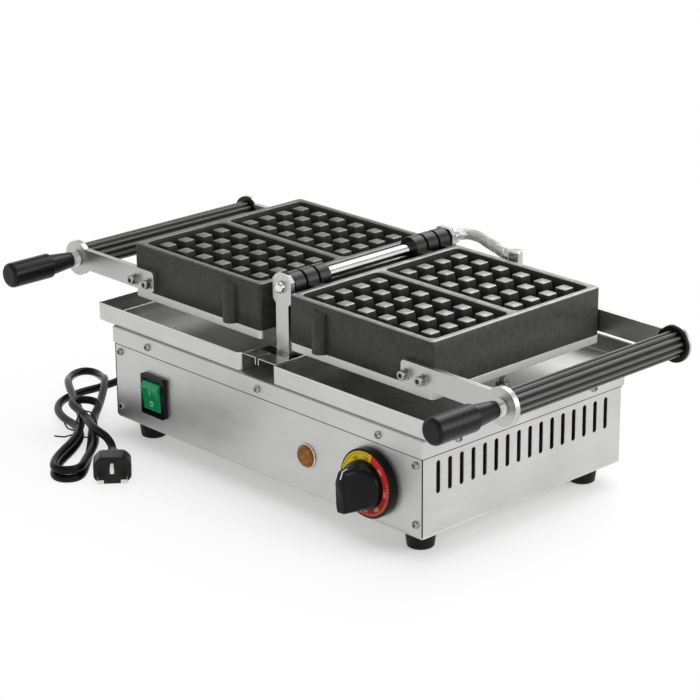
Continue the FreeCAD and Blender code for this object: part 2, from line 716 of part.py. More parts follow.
def cast_plate(side):
    """Cast half: two waffle cavities with pegs above, an element pocket and screw bosses below."""
    x0, x1 = PLATE_IN_X, PLATE_OUT_X
    block = prism("xy", CAST_Z, RIM_Z, rectangle(x0, x1, PLATE_Y0, PLATE_Y1, PLATE_CORNER_R))
    lip = [(PLATE_Y0 - FRONT_BOSS_R, CAST_Z, 0), (PLATE_Y0 + 1, CAST_Z, 0),
           (PLATE_Y0 + 1, RIM_Z - FRONT_BOSS_DROP + FRONT_BOSS_R, 0),
           (PLATE_Y0 - FRONT_BOSS_R, RIM_Z - FRONT_BOSS_DROP - FRONT_BOSS_R, 0)]
    wedge = prism("yz", FRONT_BOSS_X - FRONT_BOSS_R, FRONT_BOSS_X + FRONT_BOSS_R, lip)
    foot = V(FRONT_BOSS_X, PLATE_Y0, CAST_Z)
    round_boss = rod(foot, foot + V(0, 0, CAST_H - 1), 2 * FRONT_BOSS_R)
    body = union([block, wedge.common(round_boss)])
    wall = RIM_W
    split = DIVIDER_W / 2
    skin = POCKET_WALL
    under = rectangle(x0 + skin, x1 - skin, PLATE_Y0 + skin, PLATE_Y1 - skin, CAVITY_R)
    cuts = [prism("xy", CAST_Z - 1, POCKET_TOP, under)]
    floor = RIM_Z - CAVITY_DEPTH
    spans = ((PLATE_Y0 + wall, PLATE_MID - split), (PLATE_MID + split, PLATE_Y1 - wall))
    for a, b in spans:
        cuts.append(prism("xy", floor, RIM_Z + 1, rectangle(x0 + wall, x1 - wall, a, b, CAVITY_R)))
    for front in (True, False):
        way = V(0, 1 if front else -1, 0)
        cuts += [rod(p, p + way * (ARM_T + POCKET_WALL - 1), CAP_SCREW_D + 2 * HOLE_CLEAR)
                 for p in arm_screw_seats(front)]
    if side > 0:
        entry = V(ELBOW_X, PLATE_Y1, ELBOW_ENTRY_Z)
        cuts.append(rod(entry + V(0, 5, 0), entry - V(0, POCKET_WALL + 5, 0), ELBOW_D - 3 + 2 * HOLE_CLEAR))
    body = body.cut(Part.makeCompound(cuts))
    raised = [p for a, b in spans for p in peg_grid(V((x0 + x1) / 2, (a + b) / 2, 0))]
    bosses = [rod(p + V(0, 0, SHEET), V(p.x, p.y, POCKET_TOP + 1), POST_BOSS) for p in corner_bosses()]
    bosses.append(rod(V(STUD_X, STUD_Y, COVER_Z + SHEET), V(STUD_X, STUD_Y, POCKET_TOP + 1), STUD_BOSS_D))
    body = union([body] + raised + bosses)
    deep = V(0, 0, PLATE_SCREW_LEN + 1)
    holes = [rod(p, p + deep, PLATE_SCREW_D + 2 * HOLE_CLEAR) for p in corner_bosses()]
    holes.append(rod(V(STUD_X, STUD_Y, COVER_Z), V(STUD_X, STUD_Y, POCKET_TOP - 2), STUD_D + 2 * HOLE_CLEAR))
    return mirrored(body.cut(Part.makeCompound(holes)), side)


def heating_element(side):
    """Flat tubular element bent to and fro against the underside of the baking floor."""
    z = POCKET_TOP - ELEMENT_H / 2
    near, far = PLATE_Y0 + ELEMENT_INSET, PLATE_Y1 - ELEMENT_INSET
    x = PLATE_IN_X + ELEMENT_INSET
    points = []
    for i in range(ELEMENT_LEGS):
        ends = (near, far) if i % 2 == 0 else (far, near)
        points += [V(x + 2 * ELEMENT_BEND_R * i, ends[0], z), V(x + 2 * ELEMENT_BEND_R * i, ends[1], z)]
    points[0] = points[0] - V(0, 10, 0)
    points[-1] = points[-1] - V(0, 10, 0)
    radii = [ELEMENT_BEND_R * 0.98] * (len(points) - 2)
    wire = path_wire(points, radii)
    a, b = ELEMENT_W / 2, ELEMENT_H / 2
    x0, y0 = points[0].x, points[0].y
    rim = ((-a, b), (-a, 0), (-a / 2, -b), (a / 2, -b), (a, 0), (a, b))
    section = outline("xz", y0, [(x0 + p, z + q, 0) for p, q in rim])
    return mirrored(swept(wire, section), side)


def bottom_cover(side):
    """Shallow stainless pan under the casting."""
    x0, x1 = PLATE_IN_X, PLATE_OUT_X
    pan = prism("xy", COVER_Z, CAST_Z, rectangle(x0, x1, PLATE_Y0, PLATE_Y1, PLATE_CORNER_R))
    s = SHEET
    hollow = rectangle(x0 + s, x1 - s, PLATE_Y0 + s, PLATE_Y1 - s, PLATE_CORNER_R - s)
    cuts = [prism("xy", COVER_Z + s, CAST_Z + 1, hollow)]
    cuts += [rod(p - V(0, 0, 1), p + V(0, 0, 5), PLATE_SCREW_D + 2 * HOLE_CLEAR) for p in corner_bosses()]
    cuts.append(rod(V(STUD_X, STUD_Y, COVER_Z - 1), V(STUD_X, STUD_Y, COVER_Z + 5), STUD_D + 2 * HOLE_CLEAR))
    return mirrored(pan.cut(Part.makeCompound(cuts)), side)


def bottom_screws(side):
    """Button screws up through the pan into the casting's bosses."""
    r = SCREW_HEAD_D / 2 + 0.8
    profile = [(-SCREW_HEAD_H, 0), (-SCREW_HEAD_H, r - 1), (0, r), (0, PLATE_SCREW_D / 2),
               (PLATE_SCREW_LEN, PLATE_SCREW_D / 2), (PLATE_SCREW_LEN, 0)]
    return [mirrored(turned(p, V(0, 0, 1), profile), side) for p in corner_bosses()]


def rest_stud(side):
    """Stud with a flat foot that props the open plate on the tray's floor."""
    low = COVER_TOP + TRAY_SHEET + REST_GAP
    r = STUD_FOOT_D / 2
    top = POCKET_TOP - 3 - low
    profile = [(0, 0), (0, r - 0.5), (0.5, r), (STUD_FOOT_T, r), (STUD_FOOT_T, STUD_D / 2),
               (top, STUD_D / 2), (top, 0)]
    return mirrored(turned(V(STUD_X, STUD_Y, low), V(0, 0, 1), profile), side)


def handle_arm(side, front):
    """Flat arm from the plate's wall to the bar, with a round eye that takes the flange at the rear."""
    y0 = ARM_FRONT if front else PLATE_Y1
    r = ARM_CORNER_R
    strap = [(ARM_START_X, ARM_LOW_Z, r), (EYE_X, ARM_LOW_Z, 0), (EYE_X, ARM_LOW_Z + ARM_H, 0),
             (ARM_START_X, ARM_LOW_Z + ARM_H, r)]
    eye = V(EYE_X, y0, EYE_Z)
    through = V(0, ARM_T, 0)
    arm = union([prism("xz", y0, y0 + ARM_T, strap), rod(eye, eye + through, EYE_D)])
    cuts = [rod(eye - through, eye + through * 2, SPIGOT_D + 2 * SPIGOT_CLEAR)]
    if not front:
        cuts.append(rod(eye - through, eye + V(0, END_CAP_T, 0), END_CAP_D + 2 * SPIGOT_CLEAR))
    way = V(0, 1 if front else -1, 0)
    bore = CAP_SCREW_D + 2 * HOLE_CLEAR
    cuts += [rod(p - way, p + way * (ARM_T + 1), bore) for p in arm_screw_seats(front)]
    return mirrored(arm.cut(Part.makeCompound(cuts)), side)


def arm_screws(side):
    """Socket cap screws through both arms into the casting."""
    screws = []
    for front in (True, False):
        way = V(0, 1 if front else -1, 0)
        for seat in arm_screw_seats(front):
            depth = ARM_T + POCKET_WALL - 2
            r, s = CAP_SCREW_HEAD_D / 2, CAP_SCREW_D / 2
            screw = turned(seat, way, [(-CAP_SCREW_HEAD_H, 0), (-CAP_SCREW_HEAD_H, r), (0, r), (0, s),
                                       (depth, s), (depth, 0)])
            hexagon = ring_face(seat - way * CAP_SCREW_HEAD_H, way, CAP_SCREW_SOCKET, 6)
            key = hexagon.extrude(way * CAP_SCREW_HEAD_H * 0.5)
            screws.append(mirrored(screw.cut(key), side))
    return screws


def handle_bar(side):
    """Fluted bar between the arms, with a spigot through each eye."""
    grip = Part.makeCylinder(BAR_D / 2, PLATE_D, V(EYE_X, PLATE_Y0, EYE_Z), V(0, 1, 0))
    reach = BAR_D / 2 + FLUTE_D / 2 - FLUTE_DEPTH
    flutes = []
    for i in range(BAR_FLUTES):
        angle = 2 * math.pi * (i + 0.5) / BAR_FLUTES
        start = V(EYE_X + reach * math.cos(angle), PLATE_Y0 - 1, EYE_Z + reach * math.sin(angle))
        flutes.append(rod(start, start + V(0, PLATE_D + 2, 0), FLUTE_D))
    bar = grip.cut(Part.makeCompound(flutes))
    tip = V(EYE_X, ARM_FRONT - COLLAR_LEN - SPIGOT_IN_GRIP, EYE_Z)
    spigot = rod(tip, V(EYE_X, ARM_BACK + SPIGOT_OUT, EYE_Z), SPIGOT_D)
    return mirrored(union([bar, spigot]), side)


def bar_cap(side):
    """Round flange let into the rear arm's eye, which closes the bar."""
    r = END_CAP_D / 2
    bore = SPIGOT_D / 2 + SPIGOT_CLEAR
    profile = [(0, bore), (0, r), (END_CAP_T - 1, r), (END_CAP_T, r - 1), (END_CAP_T, bore)]
    return mirrored(turned(V(EYE_X, PLATE_Y1 + END_CAP_T, EYE_Z), V(0, -1, 0), profile), side)


def collar(side):
    """Grooved metal collar between the front arm and the grip."""
    r, bore, t = COLLAR_D / 2, SPIGOT_D / 2 + SPIGOT_CLEAR, COLLAR_GROOVE_T
    step = COLLAR_LEN / (COLLAR_GROOVES + 1)
    profile = [(0, bore), (0, r)]
    for i in range(1, COLLAR_GROOVES + 1):
        mid, half = i * step, COLLAR_GROOVE_W / 2
        profile += [(mid - half, r), (mid - half, r - t), (mid + half, r - t), (mid + half, r)]
    profile += [(COLLAR_LEN, r), (COLLAR_LEN, bore)]
    return mirrored(turned(V(EYE_X, ARM_FRONT, EYE_Z), V(0, -1, 0), profile), side)


def grip_knob(side):
    """Two-step moulded grip on the front spigot, its neck flaring towards a rounded front section."""
    bore = SPIGOT_D / 2 + SPIGOT_CLEAR
    neck = GRIP_NECK_LEN
    end = neck + GRIP_LEN
    r, e = GRIP_D / 2, GRIP_EDGE_R
    profile = [(0, bore), (0, GRIP_NECK_D / 2), (neck, GRIP_NECK_END_D / 2), (neck, r - 1), (neck + 1, r),
               (end - e, r)]
    for i in (1, 2):
        angle = math.pi / 2 * i / 3
        profile.append((end - e + e * math.sin(angle), r - e + e * math.cos(angle)))
    profile += [(end, r - e), (end, 0), (SPIGOT_IN_GRIP + 0.3, 0), (SPIGOT_IN_GRIP + 0.3, bore)]
    return mirrored(turned(V(EYE_X, ARM_FRONT - COLLAR_LEN, EYE_Z), V(0, -1, 0), profile), side)


def hinge_shaft():
    """Bright shaft through all knuckles and both posts, domed in front and hollow at the back for wires."""
    tip = V(0, POST_FRONT - SHAFT_TIP, HINGE_Z)
    length = SHAFT_END - tip.y
    r, bore = SHAFT_D / 2, SHAFT_BORE_D / 2
    profile = [(0, 0), (0, r * 0.45), (r * 0.2, r * 0.75), (r * 0.5, r * 0.94), (r, r), (length, r),
               (length, bore), (length - SHAFT_BORE_LEN, bore), (length - SHAFT_BORE_LEN, 0)]
    return turned(tip, V(0, 1, 0), profile)


def conduit_ferrule():
    """Ferrule that joins the conduit to the shaft's hollow end."""
    r, bore = FERRULE_D / 2, CONDUIT_D / 2
    start = V(0, SHAFT_END, HINGE_Z)
    hold = SHAFT_BORE_D / 2 - RUN_CLEAR
    return turned(start - V(0, 6, 0), V(0, 1, 0),
                  [(0, 0), (0, hold), (6, hold), (6, r - 1), (7, r), (5 + FERRULE_LEN, r),
                   (6 + FERRULE_LEN, r - 1), (6 + FERRULE_LEN, 0)])


def elbow_socket():
    """Middle of the elbow at the conduit's height, and the level direction of its socket."""
    turn = math.radians(ELBOW_TURN)
    middle = V(ELBOW_X, PLATE_Y1 + ELBOW_STAND, HINGE_Z - CONDUIT_SAG)
    return middle, V(-math.cos(turn), math.sin(turn), 0)


def conduit():
    """Flexible conduit bowed round behind the hinge to the elbow."""
    start = V(0, SHAFT_END + FERRULE_LEN, HINGE_Z)
    bend = start + V(0, CONDUIT_REACH, 0)
    middle, way = elbow_socket()
    end = middle + way * ELBOW_SOCKET
    ease = end + way * CONDUIT_RUN
    wire = path_wire([start, bend, ease, end], [CONDUIT_BEND_R, CONDUIT_EASE_R])
    return swept(wire, ring_face(start, V(0, 1, 0), CONDUIT_D, CONDUIT_SIDES))


def conduit_elbow():
    """Elbow fitting on the right-hand casting's rear wall, with a ribbed socket for the conduit."""
    middle, way = elbow_socket()
    stand = middle.y
    r, s = ELBOW_D / 2, ELBOW_SOCKET_D / 2
    low, tall = ELBOW_ENTRY_Z - r - 2, HINGE_Z + ELBOW_TOP - ELBOW_ENTRY_Z + r + 2
    upright = [(0, 0), (0, r - 1), (1, r), (tall - 1, r), (tall, r - 1), (tall, 0)]
    pillar = turned(V(ELBOW_X, stand, low), V(0, 0, 1), upright)
    socket = turned(middle, way,
                    [(0, 0), (0, s - 1), (r + 1, s - 1), (r + 1, s), (ELBOW_SOCKET - 5, s),
                     (ELBOW_SOCKET - 4, s - 1), (ELBOW_SOCKET - 3, s), (ELBOW_SOCKET, s), (ELBOW_SOCKET, 0)])
    entry = V(ELBOW_X, stand, ELBOW_ENTRY_Z)
    stub = rod(entry, V(ELBOW_X, PLATE_Y1 - POCKET_WALL + 1, ELBOW_ENTRY_Z), ELBOW_D - 3)
    shoulder = rod(entry, V(ELBOW_X, PLATE_Y1, ELBOW_ENTRY_Z), ELBOW_D - 1)
    return union([pillar, socket, stub, shoulder])


def drip_tray(side):
    """Folded tray standing a little to the left, its flange towards the hinge notched round the posts."""
    s = TRAY_SHEET
    x0, x1 = TRAY_IN_X, TRAY_IN_X + TRAY_W
    y0, y1 = TRAY_Y0, TRAY_Y0 + TRAY_D
    z0, z1 = COVER_TOP, COVER_TOP + TRAY_H
    r = TRAY_CORNER_R
    pan = prism("xy", z0, z1, rectangle(x0, x1, y0, y1, r))
    pan = pan.cut(prism("xy", z0 + s, z1 + 1, rectangle(x0 + s, x1 - s, y0 + s, y1 - s, r - s)))
    edge = x0 - TRAY_FLANGE - (TRAY_WIDER if side > 0 else 0)
    flange = box(edge, x0 + s, y0 + r, y1 - r, z1 - s, z1)
    lip = box(edge, edge + s, y0 + r, y1 - r, z1 - TRAY_LIP, z1)
    notches = [box(edge - 1, x0, p - TRAY_NOTCH, p + POST_T + TRAY_NOTCH, z0, z1 + 1)
               for p in (POST_FRONT, POST_BACK)]
    wing = union([flange, lip]).cut(Part.makeCompound(notches))
    tray = mirrored(union([pan] + wing.Solids), side)
    tray.translate(V(-TRAY_STAND, 0, 0))
    return tray


def cord_gland():
    """Moulded strain relief on the left-hand wall, its neck tapering onto the lead."""
    start = V(-BODY_W / 2, FRONT + GLAND_BACK, GLAND_Z)
    r, n, c = GLAND_FLANGE_D / 2, GLAND_NECK_D / 2, CORD_D / 2 + 1
    thread = -GLAND_THREAD_LEN
    profile = [(thread, 0), (thread, GLAND_THREAD_D / 2), (0, GLAND_THREAD_D / 2), (0, r),
               (GLAND_FLANGE_T - 1, r), (GLAND_FLANGE_T, r - 1), (GLAND_FLANGE_T, n)]
    ribs = GLAND_RIBS
    for i in range(ribs):
        a = GLAND_FLANGE_T + (GLAND_LEN - GLAND_FLANGE_T) * (i + 0.6) / ribs
        b = GLAND_FLANGE_T + (GLAND_LEN - GLAND_FLANGE_T) * (i + 1) / ribs
        here = n + (c - n) * (i + 1) / ribs
        profile += [(a, here + 0.6), (a, here - 0.6), (b, here - 0.6)]
        if i < ribs - 1:
            profile.append((b, here + 0.4))
    profile.append((GLAND_LEN, 0))
    return turned(start, V(-1, 0, 0), profile)


# The lead's route on the floor: x, depth behind the base's front, height of its middle
LEAD_REST = CORD_D / 2 + FLOOR_GAP
LEAD_EXIT = 22.0
LEAD_POINTS = [(-294.5, 161.0, 31.0), (-310.5, 142.0, 23.5), (-316.5, 116.5, 13.5), (-317.5, 89.5, 6.6),
               (-319.5, 63.0, 4.7), (-323.5, 37.5, 4.5), (-318.5, 11.5, 4.5), (-301.0, -8.0, 4.5),
               (-276.0, -19.0, 4.8)]
HANK_MIDDLE = (-224.8, -28.3)
HANK_AXIS = (0.78, -0.6258)
HANK_START = (-22.0, -15.5)
WAIST = 8.0
LOW_FOLD = 100.0
LOW_MIDDLE = -16.0
LOW_R = 14.0
TALL_FOLD = -165.0
TALL_MIDDLE = -3.0
TALL_R = 17.0
TALL_LIFT = (-130.0, -112.0)
SMALL_FOLD = -45.0
SMALL_MIDDLE = -2.0
SMALL_R = 14.0
PLUG_AT = (74.0, 26.0)


def hank_point(u, v, z):
    """Point given along the hank, across it, and above the floor."""
    a, b = HANK_AXIS
    return V(HANK_MIDDLE[0] + u * a - v * b, FRONT + HANK_MIDDLE[1] + u * b + v * a, z)


def hank_way(u, v):
    """Level direction given along and across the hank."""
    a, b = HANK_AXIS
    return V(u * a - v * b, u * b + v * a, 0).normalize()


def biarc(p, s, q, t):
    """Two tangent arcs from p heading s to q heading t."""
    gap = q - p
    a = 2 * (1 - s.dot(t))
    b = 2 * gap.dot(s + t)
    c = -gap.dot(gap)
    reach = -c / b if abs(a) < 1e-9 else (-b + math.sqrt(b * b - 4 * a * c)) / (2 * a)
    first, second = p + s * reach, q - t * reach
    joint = (first + second) * 0.5
    return [bow(p, first, joint), bow(joint, second, q)]


def bow(start, knee, end):
    """Arc that leaves start and reaches end along its two equal tangents."""
    chord = end - start
    turn = (knee - start).getAngle(end - knee)
    if turn < 1e-4:
        return Part.LineSegment(start, end)
    middle = (start + end) * 0.5
    rise = chord.Length / 2 * math.tan(turn / 4)
    return Part.Arc(start, middle + (knee - middle).normalize() * rise, end)


def hank_stations():
    """Places and headings along the bundled lead: two long loops, a tall and a short return, and the tail."""
    low, step = LEAD_REST, CORD_D + LAYER_GAP
    tied = FLOOR_GAP + TIE_D + TIE_GAP + CORD_D / 2
    top = tied + 2 * step
    over = low + step + 0.4
    start = hank_point(*HANK_START, tied - 0.6)
    last = lead_points()[-1]
    lead_in = (start - last).normalize()
    inside = start + lead_in * (CORD_D + 1)
    ahead, back, left, right = hank_way(1, 0), hank_way(-1, 0), hank_way(0, -1), hank_way(0, 1)
    stations = [(start, lead_in), (inside, lead_in), (hank_point(8, -WAIST - 2, tied), ahead)]
    for lift in (0, step):
        stations += [(hank_point(LOW_FOLD, LOW_MIDDLE - LOW_R, low + lift), ahead),
                     (hank_point(LOW_FOLD + LOW_R, LOW_MIDDLE, low + lift), right),
                     (hank_point(LOW_FOLD, LOW_MIDDLE + LOW_R, low + lift), back),
                     (hank_point(0, WAIST, tied + lift), back)]
        if not lift:
            stations += [(hank_point(TALL_LIFT[0], TALL_MIDDLE + TALL_R, over), back),
                         (hank_point(TALL_FOLD, TALL_MIDDLE + TALL_R, low), back),
                         (hank_point(TALL_FOLD - TALL_R, TALL_MIDDLE, low), left),
                         (hank_point(TALL_FOLD, TALL_MIDDLE - TALL_R, low), ahead),
                         (hank_point(TALL_LIFT[1], TALL_MIDDLE - TALL_R, over), ahead),
                         (hank_point(0, -WAIST, tied + step), ahead)]
    stations += [(hank_point(SMALL_FOLD, SMALL_MIDDLE + SMALL_R, top - 4), back),
                 (hank_point(SMALL_FOLD - SMALL_R, SMALL_MIDDLE, top - 0.5), left),
                 (hank_point(SMALL_FOLD, SMALL_MIDDLE - SMALL_R, top), ahead),
                 (hank_point(0, -WAIST, top), ahead),
                 (hank_point(38, 9, top), hank_way(0.85, 0.527)),
                 (hank_point(PLUG_AT[0] - CORD_D - 2, PLUG_AT[1], PLUG_H / 2 + FLOOR_GAP), ahead),
                 (hank_point(*PLUG_AT, PLUG_H / 2 + FLOOR_GAP), ahead)]
    return stations


def lead_points():
    """Points of the free stretch, from the strain relief to the hank."""
    start = V(-BODY_W / 2 - GLAND_LEN, FRONT + GLAND_BACK, GLAND_Z)
    return [start, start - V(LEAD_EXIT, 0, 0)] + [V(x, FRONT + y, z) for x, y, z in LEAD_POINTS]


def tube_report(name, wire, tube, area):
    """Print a tube's length, volume against section times length, and validity."""
    ratio = tube.Volume / (area * wire.Length)
    print(name, "length %.0f" % wire.Length, "volume ratio %.4f" % ratio, tube.isValid())


def mains_cord():
    """Free stretch of the lead: straight runs and arcs as large as the runs allow."""
    tied = FLOOR_GAP + TIE_D + TIE_GAP + CORD_D / 2
    points = lead_points() + [hank_point(*HANK_START, tied - 0.6)]
    radii = []
    for a, b, c in zip(points, points[1:], points[2:]):
        turn = (b - a).getAngle(c - b)
        radii.append(0.45 * min((b - a).Length, (c - b).Length) / math.tan(turn / 2))
    print("lead radii", [round(r) for r in radii])
    wire = path_wire(points, radii)
    face = ring_face(points[0], points[1] - points[0], CORD_D, CORD_SIDES)
    tube = swept(wire, face)
    tube_report("mains_cord", wire, tube, face.Area)
    return tube


def cord_hank():
    """Bundled length of the lead as one unbroken tube."""
    stations = hank_stations()
    edges = []
    for (p, s), (q, t) in zip(stations, stations[1:]):
        if s.getAngle(t) < 1e-6 and (q - p).getAngle(s) < 1e-6:
            edges.append(Part.LineSegment(p, q))
        else:
            edges += biarc(p, s, q, t)
    wire = Part.Wire([e.toShape() for e in edges])
    radii = [e.Curve.Radius for e in wire.Edges if hasattr(e.Curve, "Radius")]
    points = wire.discretize(Distance=4.0)
    skip = int(6 * CORD_D / 4.0)
    gaps = [a.distanceToPoint(b) for i, a in enumerate(points) for b in points[i + skip:]]
    print("hank least radius %.1f, least gap %.2f" % (min(radii), min(gaps) - CORD_D))
    face = ring_face(*stations[0], CORD_D, CORD_SIDES)
    tube = swept(wire, face)
    tube_report("cord_hank", wire, tube, face.Area)
    return tube


def cord_tie():
    """Wire tie round the hank's waist, with its two twisted ends."""
    t = TIE_D / 2
    side = WAIST + CORD_D / 2 + TIE_GAP + t
    low = FLOOR_GAP + t
    high = FLOOR_GAP + TIE_D + 2 * TIE_GAP + 3 * CORD_D + 2 * LAYER_GAP + t
    left = -side - 4.0
    second = low + t + TIE_GAP + 2 * CORD_D + LAYER_GAP
    corners = [(left, low), (side, low), (side, second - LAYER_GAP), (-WAIST + 1.5, high), (left, high)]
    points = [hank_point(0, v, z) for v, z in corners]
    middle = (points[0] + points[-1]) * 0.5
    wire = path_wire([middle] + points + [middle], [5.0] * 5)
    band = swept(wire, ring_face(middle, V(0, 0, -1), TIE_D, 6))
    ends = []
    for way in (hank_way(-0.25, -1), hank_way(0.35, -1)):
        foot = hank_point(0, left, low + 4)
        ends.append(rod(foot, foot + way * TIE_TAIL - V(0, 0, 2), TIE_D))
    return union([band] + ends)


def plug_place():
    """Middle of the plug's cord face and the level directions along and across it."""
    return hank_point(*PLUG_AT, PLUG_H / 2 + FLOOR_GAP), hank_way(1, 0), hank_way(0, 1)


def plug_section(along, width, height, bevel):
    """Bevelled cross-section of the plug at a distance from its cord face."""
    start, ahead, across = plug_place()
    middle = start + ahead * along
    w, h = width / 2, height / 2
    quarter = [(w, h - bevel), (w - bevel, h), (bevel - w, h), (-w, h - bevel)]
    rim = quarter + [(-a, -b) for a, b in quarter]
    points = [middle + across * a + V(0, 0, b) for a, b in rim]
    return Part.makePolygon(points + points[:1])


def mains_plug():
    """Moulded plug lying on the floor, widening from its neck to a flat pin face."""
    neck = plug_section(0, PLUG_NECK_D, PLUG_NECK_D, PLUG_NECK_D * 0.35)
    waist = plug_section(PLUG_NECK_LEN, PLUG_NECK_D * 1.35, PLUG_NECK_D * 1.2, PLUG_NECK_D * 0.35)
    shoulder = plug_section(PLUG_NECK_LEN + 8, PLUG_W, PLUG_H, PLUG_CORNER_R)
    face = plug_section(PLUG_LEN, PLUG_W, PLUG_H, PLUG_CORNER_R)
    return Part.makeLoft([neck, waist, shoulder, face], True, True)


def plug_pins():
    """Three flat pins standing out of the plug's face."""
    start, ahead, across = plug_place()
    pins = []
    spread = PIN_SPREAD / 2
    corners = ((-1, -1), (1, -1), (1, 1), (-1, 1), (-1, -1))
    for a, z, w, t in ((-spread, -4, PIN_W, PIN_T), (spread, -4, PIN_W, PIN_T), (0, 7, PIN_T, PIN_W)):
        middle = start + ahead * PLUG_LEN + across * a + V(0, 0, z)
        rim = [middle + across * (i * w / 2) + V(0, 0, j * t / 2) for i, j in corners]
        pins.append(Part.Face(Part.makePolygon(rim)).extrude(ahead * PIN_LEN))
    return pins


def build():
    """All nodes of the baker by name."""
    nodes = {
        "rubber_feet": rubber_feet(),
        "bottom_plate": bottom_plate(),
        "body_shell": body_shell(),
        "front_panel": front_panel(),
        "panel_screws": [pan_screw(p, d) for p, d in panel_screws()],
        "top_cover": top_cover(),
        "cover_screws": [pan_screw(p, d) for p, d in skirt_screws()],
        "front_hinge_post": hinge_post(POST_FRONT, 1),
        "rear_hinge_post": hinge_post(POST_BACK, -1),
        "post_screws": [pan_screw(p, d) for p, d in post_screws()],
        "switch_housing": switch_housing(),
        "switch_rocker": switch_rocker(),
        "lamp_bezel": lamp_bezel(),
        "lamp_lens": lamp_lens(),
        "dial_plate": dial_plate(),
        "dial_scale": dial_scale(),
        "thermostat_knob": thermostat_knob(),
        "thermostat_shaft": thermostat_shaft(),
        "thermostat_body": thermostat_body(),
        "terminal_block": terminal_block(),
        "hinge_shaft": hinge_shaft(),
        "conduit_ferrule": conduit_ferrule(),
        "conduit": conduit(),
        "conduit_elbow": conduit_elbow(),
        "cord_gland": cord_gland(),
        "mains_cord": mains_cord(),
        "cord_hank": cord_hank(),
        "cord_tie": cord_tie(),
        "mains_plug": mains_plug(),
        "plug_pins": plug_pins(),
    }
    for name, side, own in (("left", -1, "odd"), ("right", 1, "even")):
        nodes.update({
            name + "_cast_plate": cast_plate(side),
            name + "_hinge_knuckles": hinge_knuckles(side, own),
            name + "_heating_element": heating_element(side),
            name + "_bottom_cover": bottom_cover(side),
            name + "_bottom_screws": bottom_screws(side),
            name + "_rest_stud": rest_stud(side),
            name + "_front_arm": handle_arm(side, True),
            name + "_rear_arm": handle_arm(side, False),
            name + "_arm_screws": arm_screws(side),
            name + "_handle_bar": handle_bar(side),
            name + "_bar_cap": bar_cap(side),
            name + "_collar": collar(side),
            name + "_grip_knob": grip_knob(side),
            name + "_drip_tray": drip_tray(side),
        })
    return nodes


def main():
    """Write each node to its own file."""
    os.makedirs("parts", exist_ok=True)
    for name, shape in build().items():
        whole = Part.makeCompound(shape) if isinstance(shape, list) else shape
        if len(whole.Solids) == 1:
            whole = whole.Solids[0]
        assert whole.isValid() and whole.Solids, name
        whole.exportStep("parts/%s.step" % name)


main()
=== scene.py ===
"""Studio picture of a double rectangular waffle baker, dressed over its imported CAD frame.

Every object is in metres in the CAD frame: +Z up, hinge plane at x = 0, controls facing -Y.
Sizes in the classes are millimetres and go through mm(). Angles in them are degrees.
"""
from __future__ import annotations

import json
import logging
import math
from dataclasses import dataclass
from enum import Enum, IntEnum
from typing import Any, Iterable, NamedTuple, Sequence

import bmesh
import bpy
from mathutils import Matrix, Vector

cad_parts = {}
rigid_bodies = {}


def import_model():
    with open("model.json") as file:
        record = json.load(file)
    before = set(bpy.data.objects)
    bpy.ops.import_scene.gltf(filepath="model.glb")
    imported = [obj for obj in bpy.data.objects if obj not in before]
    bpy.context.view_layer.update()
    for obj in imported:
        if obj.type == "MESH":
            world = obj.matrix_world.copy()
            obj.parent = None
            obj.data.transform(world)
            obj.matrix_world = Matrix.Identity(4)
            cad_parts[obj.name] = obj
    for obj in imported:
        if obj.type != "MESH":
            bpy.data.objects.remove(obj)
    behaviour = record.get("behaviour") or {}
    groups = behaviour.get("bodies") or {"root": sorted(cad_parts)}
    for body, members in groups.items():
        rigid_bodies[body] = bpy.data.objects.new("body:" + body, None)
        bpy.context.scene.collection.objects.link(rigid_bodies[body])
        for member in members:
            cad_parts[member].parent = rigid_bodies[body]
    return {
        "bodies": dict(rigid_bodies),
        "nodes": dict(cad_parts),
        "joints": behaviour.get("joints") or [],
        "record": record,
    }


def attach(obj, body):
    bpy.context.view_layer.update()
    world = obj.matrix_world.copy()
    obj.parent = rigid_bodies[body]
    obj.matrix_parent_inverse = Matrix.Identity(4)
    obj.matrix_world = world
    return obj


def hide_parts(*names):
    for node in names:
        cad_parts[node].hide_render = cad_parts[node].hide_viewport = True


LOG = logging.getLogger("waffle_baker")
MM = 0.001
PER_METRE = 1000.0
FULL_TURN = 2 * math.pi
# Vertices nearer than this many metres are one, and faces turned less than this many degrees are flat.
SAME_SPOT = 1e-6
SAME_PLANE = 0.5

Pair = tuple[float, float]
Triple = tuple[float, float, float]
Work = bmesh.types.BMesh
Mesh = bpy.types.Mesh
Node = bpy.types.Node
Socket = bpy.types.NodeSocket


class Side(Enum):
    """The two halves of the baker, valued by the sign of their x."""

    LEFT = -1
    RIGHT = 1

    @property
    def prefix(self) -> str:
        """Start of this half's node names."""
        return self.name.lower() + "_"

    @property
    def plate(self) -> str:
        """Body that this half's plate and handle ride on."""
        return self.prefix + "plate"

    @property
    def tray(self) -> str:
        """Body of this half's drip tray."""
        return self.prefix + "tray"


class Grain(Enum):
    """Which way a sheet was brushed, as lines per metre along x, y and z."""

    LEVEL = (10.0, 10.0, 1500.0)
    ACROSS = (1500.0, 10.0, 10.0)
    DEEP = (10.0, 1500.0, 10.0)


class CastSkin(IntEnum):
    """Material slots of a casting: its walls, its ground land and its cavities."""

    WALL = 0
    LAND = 1
    CAVITY = 2


def mm(*values: float) -> Any:
    """Turn millimetres to metres: one number, or a vector from three."""
    return values[0] * MM if len(values) == 1 else Vector(values) * MM


